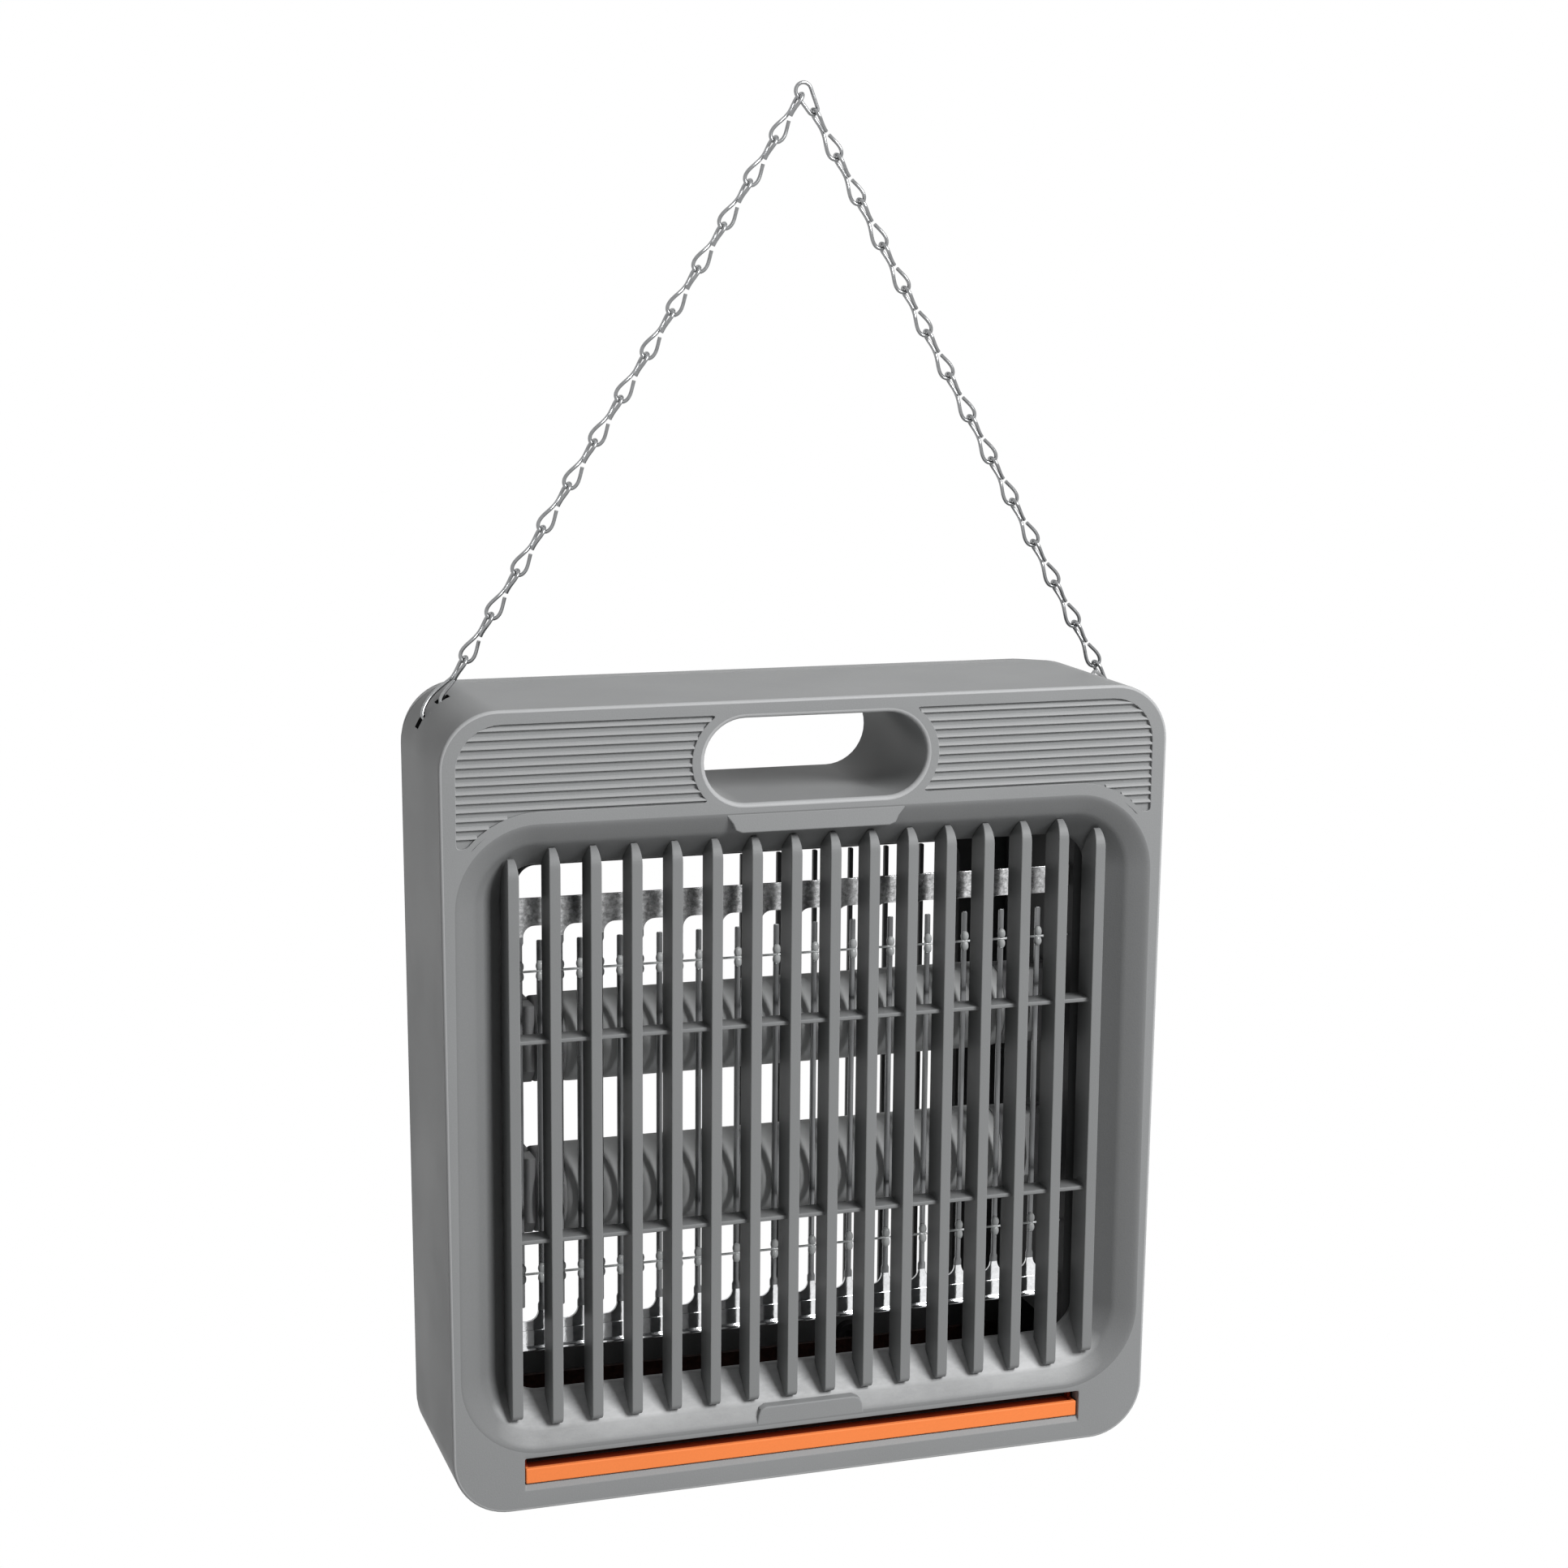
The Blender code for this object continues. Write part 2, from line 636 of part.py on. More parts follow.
def comb(name, places, strip_low, strip_high, tip):
    """A stamped electrode: a strip with a folded flange and a row of teeth with filleted roots."""
    points = []
    down = tip < strip_low
    root = strip_low if down else strip_high
    back = strip_high if down else strip_low
    sign = 1 if down else -1
    arc = [math.radians(90 * k / 3) for k in range(4)]
    for x in places:
        near, far = x - tooth_width / 2, x + tooth_width / 2
        near_root = min(tooth_root, near + comb_half - comb_sheet)
        far_root = min(tooth_root, comb_half - comb_sheet - far)
        for a in arc:
            level = root - sign * near_root * (1 - math.cos(a))
            points.append((near - near_root * (1 - math.sin(a)), level))
        points += [(near, tip + sign * tooth_width / 2), (x, tip), (far, tip + sign * tooth_width / 2)]
        for a in reversed(arc):
            level = root - sign * far_root * (1 - math.cos(a))
            points.append((far + far_root * (1 - math.sin(a)), level))
    points = [(-comb_half, root)] + points
    points += [(comb_half, root), (comb_half, back), (-comb_half, back)]
    bm = bmesh.new()
    prism(bm, [(x, comb_plane, z) for x, z in points], (0, comb_sheet, 0))
    electrode = mesh_object(name, bm, zinc_sheet)
    edge = back - sign * comb_sheet
    low = (-comb_half + comb_sheet, comb_plane + comb_sheet / 2, min(back, edge))
    high = (comb_half - comb_sheet, comb_plane + flange_depth, max(back, edge))
    combine(electrode, tool(lambda made: box(made, low, high)), "UNION")


def electrodes():
    upper_root = upper_strip_top - strip_height - upper_web
    lower_root = lower_strip_top + lower_web
    comb("upper_electrode", gap_places, upper_root, upper_strip_top, lower_root + tooth_clear)
    bottom = lower_strip_top - strip_height
    comb("lower_electrode", grid_places[1:-1], bottom, lower_root, upper_root - tooth_clear)
    for name, z in zip(("lower_spacer_rod", "upper_spacer_rod"), rod_heights):
        bm = bmesh.new()
        y = comb_plane - fit_gap - rod_diameter / 2
        reach = side_panel_inner - fit_gap
        rod(bm, (-reach, y, z), (reach, y, z), rod_diameter, 8)
        mesh_object(name, bm, clear_rod)


def strip_middle(level):
    top = upper_strip_top if level == "upper" else lower_strip_top
    return top - strip_height / 2


def side_pieces():
    """Inner side panels with the insulators that carry the electrodes."""
    front = dish_depth + wall + fit_gap
    back = rear_bar_front - fit_gap
    tall = side_panel_top - side_panel_bottom
    for side, name in ((-1, "left"), (1, "right")):
        inner = side * side_panel_inner
        outer = side * (side_panel_inner + side_panel_sheet)
        flange = side * (side_panel_inner + side_panel_flange)
        turn = front + side_panel_sheet
        shape = [(inner, front), (flange, front), (flange, turn), (outer, turn), (outer, back), (inner, back)]
        bm = bmesh.new()
        prism(bm, [(x, y, side_panel_bottom) for x, y in shape], (0, 0, tall))
        mesh_object(f"{name}_side_panel", bm, dark_plastic)
        for level in ("upper", "lower"):
            z = strip_middle(level)
            near = side * (comb_half + fit_gap)
            far = side * (side_panel_inner - fit_gap)
            bm = bmesh.new()
            half = strip_height / 2
            low = (min(near, far), comb_plane - comb_sheet, z - half)
            box(bm, low, (max(near, far), comb_plane + flange_depth, z + half))
            mesh_object(f"{level}_{name}_insulator", bm, white_plastic)


def lamp(name, z):
    """A tube with recessed metal caps and two contact pins at each end."""
    end = side_panel_inner - 2 * fit_gap - holder_depth
    radius = tube_diameter / 2
    cap = radius - cap_inset
    profile = [(0, cap - 1.5 * MM), (1.5 * MM, cap), (cap_length, cap), (cap_length + cap_inset, radius)]
    stations = [(-end + x, r) for x, r in profile] + [(end - x, r) for x, r in reversed(profile)]
    sides = 24
    bm = bmesh.new()
    rings = []
    for x, r in stations:
        turn = [2 * math.pi * k / sides for k in range(sides)]
        rings.append([bm.verts.new((x, tube_axis + r * math.cos(a), z + r * math.sin(a))) for a in turn])
    for a, b in zip(rings, rings[1:]):
        for i in range(sides):
            j = (i + 1) % sides
            bm.faces.new((a[i], a[j], b[j], b[i]))
    bm.faces.new(rings[0])
    bm.faces.new(rings[-1])
    tube = mesh_object(name, bm, white_glass)

    def pins(made):
        for side in (-1, 1):
            for sign in (-1, 1):
                level = z + sign * pin_spacing / 2
                start = (side * (end - cap_inset), tube_axis, level)
                rod(made, start, (side * (end + pin_length), tube_axis, level), pin_diameter, 8)

    combine(tube, tool(pins), "UNION")


def lamp_holder(name, side, z):
    """A socket block on the side panel, open upwards so the pins drop in."""
    near = side * (side_panel_inner - fit_gap - holder_depth)
    far = side * (side_panel_inner - fit_gap)
    low, high = z - holder_height / 2, z + holder_height / 2
    bevel = holder_width / 4
    floor = z - pin_spacing / 2 - pin_diameter / 2 - fit_gap
    y0, y1 = tube_axis - holder_width / 2, tube_axis + holder_width / 2
    slot0, slot1 = tube_axis - holder_slot / 2, tube_axis + holder_slot / 2
    shape = [(y0, low + bevel), (y0 + bevel, low), (y1 - bevel, low), (y1, low + bevel), (y1, high)]
    shape += [(slot1, high), (slot1, floor), (slot0, floor), (slot0, high), (y0, high)]
    bm = bmesh.new()
    prism(bm, [(near, y, level) for y, level in shape], (far - near, 0, 0))
    mesh_object(name, bm, white_plastic)


def lamps():
    for level, z in zip(("lower", "upper"), tube_heights):
        lamp(f"{level}_lamp", z)
        for side, name in ((-1, "left"), (1, "right")):
            lamp_holder(f"{level}_{name}_lamp_holder", side, z)


def collecting_tray():
    """Open pan on the runners; its front is a low bar with finger room behind it."""
    half = tray_slot_half - tray_clearance
    bottom = tray_slot_bottom + tray_clearance
    top = bottom + tray_height
    back = tray_setback + tray_length
    bar_back = tray_setback + tray_bar_thickness
    pan_front = bar_back + tray_recess + tray_wall
    bm = bmesh.new()
    box(bm, (-half, tray_setback, bottom), (half, back, top))
    tray = mesh_object("collecting_tray", bm, orange_plastic)

    def hollows(made):
        inner = half - tray_wall
        box(made, (-inner, pan_front, bottom + tray_wall), (inner, back - tray_wall, top + tray_wall))
        low = (-inner, bar_back, top - tray_recess_depth)
        box(made, low, (inner, bar_back + tray_recess, top + tray_wall))

    combine(tray, tool(hollows), "DIFFERENCE")
    low = (-half - tray_wall, tray_setback - tray_wall, bottom + tray_bar_height)
    high = (half + tray_wall, bar_back + tray_recess / 2, top + tray_wall)
    combine(tray, tool(lambda made: box(made, low, high)), "DIFFERENCE")


def gear():
    """Ballast, high-voltage transformer, starters, terminal block and cord gland."""
    back = inner_back - fit_gap
    blocks = (
        ("ballast", -1, ballast_gap, ballast_end, ballast_depth, ballast_height),
        ("transformer", 1, transformer_gap, transformer_end, transformer_depth, transformer_height),
    )
    for name, side, gap, end, deep, tall in blocks:
        near, far = side * (sleeve_reach + gap), side * (width / 2 - end)
        top = gear_bottom + tall
        front = back - deep
        bm = bmesh.new()
        box(bm, (min(near, far), front, gear_bottom), (max(near, far), back, top))
        block = mesh_object(name if side < 0 else f"high_voltage_{name}", bm, steel_core)
        middle, third = (near + far) / 2, abs(far - near) / 3

        def winding(made, middle=middle, third=third, front=front, top=top):
            for sign in (-1, 1):
                cut = (middle + sign * third - third / 4, front - wall, top - 2 * wall)
                box(made, cut, (cut[0] + third / 2, back + wall, top + wall))

        combine(block, tool(winding), "DIFFERENCE")
        face = front - fit_gap
        z = gear_bottom + starter_rise
        bm = bmesh.new()
        rod(bm, (middle, face - starter_length, z), (middle, face, z), starter_diameter, 18)
        mesh_object("left_starter" if side < 0 else "right_starter", bm, white_plastic)
        if side < 0:
            bm = bmesh.new()
            low = (near - terminal_width, face - terminal_length, gear_bottom + terminal_rise)
            box(bm, low, (near, face, low[2] + terminal_height))
            mesh_object("terminal_block", bm, white_plastic)
    bm = bmesh.new()
    start = (gland_offset, inner_back - 2 * wall, gland_height)
    rod(bm, start, (gland_offset, depth + fit_gap + wall / 2, gland_height), gland_diameter, 20)
    gland = mesh_object("cord_gland", bm, dark_plastic)
    outer = depth + fit_gap
    flange = (gland_offset, outer + gland_flange_thickness, gland_height)
    near = (gland_offset, outer, gland_height)
    combine(gland, tool(lambda made: rod(made, near, flange, gland_flange, 20)), "UNION")
    end = (gland_offset, depth + 4 * wall, gland_height)
    inside = (gland_offset, inner_back - 4 * wall, gland_height)
    combine(gland, tool(lambda made: rod(made, inside, end, gland_bore, 16)), "DIFFERENCE")


def wire_curve(name, points, closed=False):
    """Round wire along points."""
    curve = bpy.data.curves.new(name, "CURVE")
    curve.dimensions = "3D"
    curve.bevel_depth = wire_radius
    curve.bevel_resolution = 1
    curve.resolution_u = 1
    curve.render_resolution_u = 0
    curve.use_fill_caps = not closed
    spline = curve.splines.new("POLY")
    spline.points.add(len(points) - 1)
    spline.use_cyclic_u = closed
    for point, place in zip(spline.points, points):
        point.co = (*place, 1)
    curve.materials.append(chain_wire)
    return curve


def link_path(first, last, count):
    """Points of a jack chain link: two loops a quarter turn apart whose wires pass at the waist.

    The turn runs round the link: 0 is the far end of the upper loop, which lies in the YZ plane, and
    180 degrees the far end of the lower loop, which lies in the XZ plane."""
    apart = wire_radius + link_gap / 2
    points = []
    for k in range(count):
        turn = math.radians(first + (last - first) * k / (count - 1))
        along = link_reach * math.cos(turn)
        t = (along / link_reach + 1) / 2
        plane = math.radians(90) * t * t * (3 - 2 * t)
        swing = loop_half * math.sin(2 * turn)
        part = apart * math.sin(turn) / math.sqrt(2)
        points.append(Vector((swing * math.cos(plane) - part, swing * math.sin(plane) + part, along)))
    return points


def end_link_path(side, place):
    """An upper loop like the other links', and a lower loop opened out round the strip of wall."""
    upper = [place @ p for p in link_path(-86, 86, link_steps // 2)]
    low, high = anchor_angles
    inward = (anchor_hole / 2 - wire_radius - end_link_clear / 2) / corner_radius
    deep = wall + wire_radius + end_link_clear
    route = [(low + inward, -wire_radius), (low + inward, deep), ((low + high) / 2, deep + wire_radius)]
    route += [(high - inward, deep), (high - inward, -wire_radius)]
    crossing = ((low + 3 * high) / 4, -2 * wire_radius - end_link_clear)  # over the strip between the holes
    if side < 0:
        route.insert(0, crossing)
    else:
        route.append(crossing)
    lower = []
    for k, (angle, inset) in enumerate(route):
        aside = (wire_radius + link_gap / 2) * (1 - 2 * k / (len(route) - 1))
        lower.append(anchor_point(side, angle, anchor_depth + aside, inset))
    corners = [upper[-1]] + lower + [upper[0]]
    smooth = [corners[0]]
    for a, b in zip(corners, corners[1:]):
        smooth += [a.lerp(b, 0.25), a.lerp(b, 0.75)]
    return upper + smooth[1:]


def top_eye_path(middle, toward):
    """An egg-shaped eye: round at the hook, narrow where the right side of the chain pulls."""
    reach = top_eye_length - top_eye_tip_radius
    spread = math.acos((top_eye_radius - top_eye_tip_radius) / reach)
    across = Vector((0, 1, 0)).cross(toward)
    arcs = (
        (0.0, top_eye_radius, spread, 2 * math.pi - spread, 13),
        (reach, top_eye_tip_radius, -spread, spread, 7),
    )
    points = []
    for shift, radius, first, last, count in arcs:
        for k in range(count):
            angle = first + (last - first) * k / (count - 1)
            aside = across * radius * math.sin(angle)
            points.append(middle + toward * (shift + radius * math.cos(angle)) + aside)
    return points


def add_wire(name, curve, place):
    wire = bpy.data.objects.new(name, curve)
    wire.matrix_basis = place
    wire.parent = hang_frame
    bpy.context.scene.collection.objects.link(wire)


def chain():
    """Two taut sides of links from the housing's top corners up to the top eye."""
    middle = top_eye_middle()
    cut = math.degrees(1.2 * wire_diameter / link_reach)
    common = wire_curve("chain_link", link_path(-90 + cut / 2, 270 - cut / 2, link_steps))
    for side, name, count in ((-1, "left", left_link_count), (1, "right", right_link_count)):
        foot = end_waist(side)
        along = (middle - foot).normalized()
        turn = Matrix((Vector((0, 1, 0)).cross(along), Vector((0, 1, 0)), along)).transposed().to_4x4()
        path = end_link_path(side, Matrix.Translation(foot) @ turn)
        add_wire(f"{name}_end_link", wire_curve(f"{name}_end_link", path), Matrix.Identity(4))
        for k in range(1, count + 1):
            place = Matrix.Translation(foot + along * k * link_pitch) @ turn
            add_wire(f"{name}_chain_link_{k:02d}", common, place)
    path = top_eye_path(middle, (end_waist(1) - middle).normalized())
    add_wire("top_eye", wire_curve("top_eye", path, closed=True), Matrix.Identity(4))


front_shell()
rear_shell()
front_guard()
rear_guard()
electrodes()
side_pieces()
lamps()
collecting_tray()
gear()
chain()
print("hang point in the housing frame", [round(v, 6) for v in hang_point])
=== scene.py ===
import math

import bmesh
import bpy
from mathutils import Matrix, Vector


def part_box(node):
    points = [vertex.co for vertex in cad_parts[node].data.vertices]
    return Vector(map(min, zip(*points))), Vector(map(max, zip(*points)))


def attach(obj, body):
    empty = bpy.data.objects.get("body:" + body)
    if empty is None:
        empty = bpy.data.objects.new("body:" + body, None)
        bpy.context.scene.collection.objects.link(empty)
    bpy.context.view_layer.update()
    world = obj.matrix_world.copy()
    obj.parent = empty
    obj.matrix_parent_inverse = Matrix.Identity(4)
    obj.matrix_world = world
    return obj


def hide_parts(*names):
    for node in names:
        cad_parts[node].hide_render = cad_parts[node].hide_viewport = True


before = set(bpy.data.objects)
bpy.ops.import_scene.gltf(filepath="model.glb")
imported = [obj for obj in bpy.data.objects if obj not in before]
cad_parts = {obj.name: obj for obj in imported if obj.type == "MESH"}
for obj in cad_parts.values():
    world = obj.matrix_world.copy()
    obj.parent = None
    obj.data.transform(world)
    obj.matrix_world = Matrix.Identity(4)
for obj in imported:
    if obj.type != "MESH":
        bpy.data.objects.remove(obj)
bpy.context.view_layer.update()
caseLow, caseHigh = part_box("front_shell")
caseMid = (caseLow.x + caseHigh.x) / 2


def at(x, y, z):  # millimetres right of the case's middle, behind its front face, above its base
    return Vector((caseMid + x / 1000, caseLow.y + y / 1000, caseLow.z + z / 1000))


# finishes: noise scales are per metre, lengths are millimetres on the case


def feed(made, socket, value):  # a link from another node, or a plain value
    if isinstance(value, bpy.types.NodeSocket):
        made.node_tree.links.new(value, socket)
    else:
        socket.default_value = value


def addNode(made, kind, sockets=None, **settings):
    node = made.node_tree.nodes.new(kind)
    for name, value in settings.items():
        setattr(node, name, value)
    for name, value in (sockets or {}).items():
        feed(made, node.inputs[name], value)
    return node


def setShader(made, values):
    shader = made.node_tree.nodes["Principled BSDF"]
    for name, value in values.items():
        feed(made, shader.inputs[name], value)


def addMath(made, operation, *values):
    return addNode(made, "ShaderNodeMath", dict(enumerate(values)), operation=operation).outputs[0]


def addMix(made, share, under, over, **settings):
    sockets = {"Factor": share, "A": under, "B": over}
    return addNode(made, "ShaderNodeMix", sockets, **settings).outputs["Result"]


def addNoise(made, coords, scale, detail=2.0, rough=0.5, stretch=None):
    if stretch:
        mapping = addNode(made, "ShaderNodeMapping", {"Vector": coords, "Scale": stretch})
        coords = mapping.outputs["Vector"]
    sockets = {"Vector": coords, "Scale": scale, "Detail": detail, "Roughness": rough}
    return addNode(made, "ShaderNodeTexNoise", sockets).outputs["Fac"]


def addRamp(made, source, stops):
    ramp = addNode(made, "ShaderNodeValToRGB", {"Fac": source})
    for element, (place, tone) in zip(ramp.color_ramp.elements, stops):
        element.position = place
        element.color = (*tone, 1)
    return ramp.outputs["Color"]


def addBump(made, source, strength, depth):
    sockets = {"Height": source, "Strength": strength, "Distance": depth / 1000}
    setShader(made, {"Normal": addNode(made, "ShaderNodeBump", sockets).outputs["Normal"]})


def splitVector(made, source):
    return addNode(made, "ShaderNodeSeparateXYZ", {"Vector": source}).outputs


def toneStops(tone, share, low=0.3, high=0.7):
    return (low, [c * (1 - share) for c in tone]), (high, [c * (1 + share) for c in tone])


def greyStops(first, last, low=0.3, high=0.7):
    return (low, (first,) * 3), (high, (last,) * 3)


def startFinish(name):
    made = bpy.data.materials.new(name)
    made.use_nodes = True
    return made, addNode(made, "ShaderNodeTexCoord").outputs["Object"]


moulding = {"specular": 0.15, "cloud": 14.0, "cloudShare": 0.45, "bumpDepth": 0.4}


def mouldedFinish(name, tone, rough, share=0.05, grain=1500.0, bump=0.12):
    made, coords = startFinish(name)
    fine = addNoise(made, coords, grain, detail=3.0)
    broad = addNoise(made, coords, moulding["cloud"], detail=4.0, rough=0.6)
    mixed = addMix(made, moulding["cloudShare"], fine, broad, data_type="FLOAT")
    setShader(made, {
        "Specular IOR Level": moulding["specular"],
        "Base Color": addRamp(made, mixed, toneStops(tone, share)),
        "Roughness": addRamp(made, broad, greyStops(*rough)),
    })
    addBump(made, fine, bump, moulding["bumpDepth"])
    return made


plating = {"broad": 45.0, "bump": 0.08, "bumpDepth": 0.3}


def metalFinish(name, tone, rough, share=0.1, spangle=320.0, stretch=None):
    made, coords = startFinish(name)
    grain = addNoise(made, coords, spangle, detail=4.0, rough=0.65, stretch=stretch)
    broad = addNoise(made, coords, plating["broad"])
    setShader(made, {
        "Metallic": 1.0,
        "Base Color": addRamp(made, grain, toneStops(tone, share, low=0.32, high=0.68)),
        "Roughness": addRamp(made, broad, greyStops(*rough)),
    })
    addBump(made, grain, plating["bump"], plating["bumpDepth"])
    return made


coating = {"specular": 0.12, "powder": 1800.0, "cloud": 22.0, "stretch": (0.35, 1, 1), "share": 0.06}


def tubeFinish(name, tone, rough):
    made, coords = startFinish(name)
    powder = addNoise(made, coords, coating["powder"])
    cloud = addNoise(made, coords, coating["cloud"], detail=3.0, stretch=coating["stretch"])
    setShader(made, {
        "Specular IOR Level": coating["specular"],
        "Base Color": addRamp(made, cloud, toneStops(tone, coating["share"])),
        "Roughness": addRamp(made, powder, greyStops(*rough)),
    })
    return made


clearRod = {"transmission": 0.35, "ior": 1.47, "haze": 260.0, "stops": (0.3, 0.7)}


def clearFinish(name, hazy, clear, rough):
    made, coords = startFinish(name)
    haze = addNoise(made, coords, clearRod["haze"], detail=3.0)
    setShader(made, {
        "Transmission Weight": clearRod["transmission"],
        "IOR": clearRod["ior"],
        "Base Color": addRamp(made, haze, zip(clearRod["stops"], (hazy, clear))),
        "Roughness": addRamp(made, haze, greyStops(*rough)),
    })
    return made


def openTone(made):  # the tone so far, and where each point of the surface lies
    tone = made.node_tree.nodes["Principled BSDF"].inputs["Base Color"].links[0].from_socket
    coords = addNode(made, "ShaderNodeTexCoord").outputs["Object"]
    return tone, coords, splitVector(made, coords)


# painted shade for the tray's inside: dark specks in the well, dark red in the finger room
trayShade = {"front": 3.6, "fingers": 10.2, "half": 122.0, "up": (0.35, 0.75), "specks": 420.0, "share": 0.6}


def trayFinish(name, tone, rough, recessShade, innerShade):  # painted shade: plain outside, dark inside the tray where it faces up or to the front
    made = mouldedFinish(name, tone, rough, share=0.04, bump=0.08)
    plainTone, coords, place = openTone(made)
    facing = splitVector(made, addNode(made, "ShaderNodeNewGeometry").outputs["Normal"])
    inward = addMath(made, "SUBTRACT", facing["Z"], facing["Y"])  # the inside of the rear wall too
    up = addRamp(made, inward, greyStops(0, 1, *trayShade["up"]))
    between = addMath(made, "COMPARE", place["X"], caseMid, trayShade["half"] / 1000)  # between the side walls
    behind = addMath(made, "GREATER_THAN", place["Y"], at(0, trayShade["front"], 0).y)
    share = addMath(made, "MULTIPLY", addMath(made, "MAXIMUM", up, between), behind)
    specks = addNoise(made, coords, trayShade["specks"], detail=4.0, rough=0.7)
    shadedSpecks = addRamp(made, specks, toneStops(innerShade, trayShade["share"], low=0.35))
    deep = addMath(made, "GREATER_THAN", place["Y"], at(0, trayShade["fingers"], 0).y)
    inside = addMix(made, deep, (*recessShade, 1), shadedSpecks, data_type="RGBA")  # painted shade in the finger room, dark red
    setShader(made, {"Base Color": addMix(made, share, plainTone, inside, data_type="RGBA")})
    return made


# painted shade of the guards
finShade = {"from": 4.0, "to": 16.0, "least": 0.45}


def finFinish(name, tone, rough):  # painted shade: darker towards the back edge, where the fins shade each other; the plates share it and the rear guard takes its darkest end
    made = mouldedFinish(name, tone, rough, grain=1900.0)
    plainTone, _, place = openTone(made)
    share = addNode(made, "ShaderNodeMapRange", {
        "Value": place["Y"],
        "From Min": at(0, finShade["from"], 0).y,
        "From Max": at(0, finShade["to"], 0).y,
        "To Min": 1.0,
        "To Max": finShade["least"],
    }).outputs["Result"]
    shaded = addMix(made, 1.0, plainTone, share, data_type="RGBA", blend_type="MULTIPLY")
    setShader(made, {"Base Color": shaded})
    return made


# painted light on the lower ramp, where it faces up
paintedRampLight = {
    "below": 60.0, "up": (0.4, 0.7), "marks": 30.0, "stretch": (0.5, 1, 1), "least": 0.45,
    "spread": (0.35, 0.65),
}


def rampFinish(name, tone, rough, pale):  # painted light: paler where the ramp faces up below the fins, broken into streaks
    made = mouldedFinish(name, tone, rough)
    plainTone, coords, place = openTone(made)
    facing = splitVector(made, addNode(made, "ShaderNodeNewGeometry").outputs["Normal"])
    up = addRamp(made, facing["Z"], greyStops(0, 1, *paintedRampLight["up"]))
    low = addMath(made, "LESS_THAN", place["Z"], at(0, 0, paintedRampLight["below"]).z)
    marks = addNoise(made, coords, paintedRampLight["marks"], detail=6.0, rough=0.75, stretch=paintedRampLight["stretch"])
    streaks = addRamp(made, marks, greyStops(paintedRampLight["least"], 1, *paintedRampLight["spread"]))
    share = addMath(made, "MULTIPLY", addMath(made, "MULTIPLY", streaks, up), low)
    setShader(made, {"Base Color": addMix(made, share, plainTone, (*pale, 1), data_type="RGBA")})
    return made


finishes = {  # name, tone, and the least and most roughness
    "case": mouldedFinish("caseGrey", (0.262, 0.267, 0.27), (0.42, 0.52)),
    # painted highlight: a lighter copy of the case grey for rounded edges
    "edge": mouldedFinish("edgeHighlightGrey", (0.4, 0.405, 0.41), (0.36, 0.46)),
    # painted shade: the ramp is a darker copy of the case grey; low down it carries painted light
    "ramp": rampFinish("rampPaintedShadeAndLight", (0.2, 0.204, 0.206), (0.42, 0.52), (0.56, 0.565, 0.57)),
    # painted highlight: a lighter copy of the case grey for the ridges
    "ribHighlight": mouldedFinish("ribHighlightGrey", (0.32, 0.325, 0.328), (0.38, 0.48)),
    "fin": finFinish("guardGrey", (0.218, 0.223, 0.225), (0.4, 0.5)),
    # near black: painted shade inside the shell walls and holes, and the cord gland's own colour
    "dark": mouldedFinish("innerDark", (0.016, 0.0165, 0.017), (0.55, 0.7), share=0.12),
    # the tray's inside carries painted shade
    "tray": trayFinish("trayOrange", (0.93, 0.25, 0.07), (0.4, 0.52), recessShade=(0.3, 0.035, 0.01),
                       innerShade=(0.02, 0.008, 0.006)),
    "white": mouldedFinish("insulatorWhite", (0.72, 0.72, 0.68), (0.35, 0.5), bump=0.05),
    "combDark": metalFinish("upperCombZinc", (0.55, 0.555, 0.56), (0.16, 0.32), share=0.5, spangle=520.0),
    "combBright": metalFinish("lowerCombZinc", (0.82, 0.83, 0.84), (0.05, 0.13), share=0.12),
    # painted shade: a darker copy of the zinc for the teeth
    "tooth": metalFinish("toothZincShaded", (0.2, 0.204, 0.208), (0.16, 0.3), share=0.35, stretch=(1, 1, 0.08)),
    "wire": metalFinish("chainWire", (0.27, 0.275, 0.28), (0.14, 0.26), share=0.12, spangle=700.0),
    "cap": mouldedFinish("lampCapGrey", (0.44, 0.445, 0.45), (0.4, 0.5), share=0.04),
    "panel": mouldedFinish("panelGrey", (0.08, 0.082, 0.083), (0.5, 0.6), share=0.08),
    "holder": mouldedFinish("holderGrey", (0.4, 0.405, 0.41), (0.45, 0.6), share=0.06),
    "core": metalFinish("coreSteel", (0.24, 0.24, 0.25), (0.4, 0.55), spangle=1200.0,
                        stretch=(0.05, 1, 0.05)),
    "tube": tubeFinish("lampGlass", (0.56, 0.57, 0.57), (0.5, 0.58)),
    "clear": clearFinish("spacerClear", (0.78, 0.81, 0.81), (0.93, 0.95, 0.95), (0.06, 0.16)),
}
print("finishes ready", len(finishes))


# shared mesh tools

smoothBelow = 38.0  # degrees between faces


def placeMesh(name, bm):
    mesh = bpy.data.meshes.new(name)
    bm.to_mesh(mesh)
    bm.free()
    placed = bpy.data.objects.new(name, mesh)
    bpy.context.scene.collection.objects.link(placed)
    return placed


def smoothFaces(mesh, below=smoothBelow):
    mesh.shade_smooth()
    mesh.set_sharp_from_angle(angle=math.radians(below))


def addPiece(name, bm, finish, nodes=(), body="housing", smoothTo=smoothBelow):
    piece = placeMesh(name, bm)
    piece.data.materials.append(finishes[finish])
    smoothFaces(piece.data, smoothTo)
    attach(piece, body)
    if nodes:
        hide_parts(*nodes)
    return piece


def evenNormals(piece, weight=80):
    even = piece.modifiers.new("evenNormals", "WEIGHTED_NORMAL")
    even.keep_sharp = True
    even.weight = weight


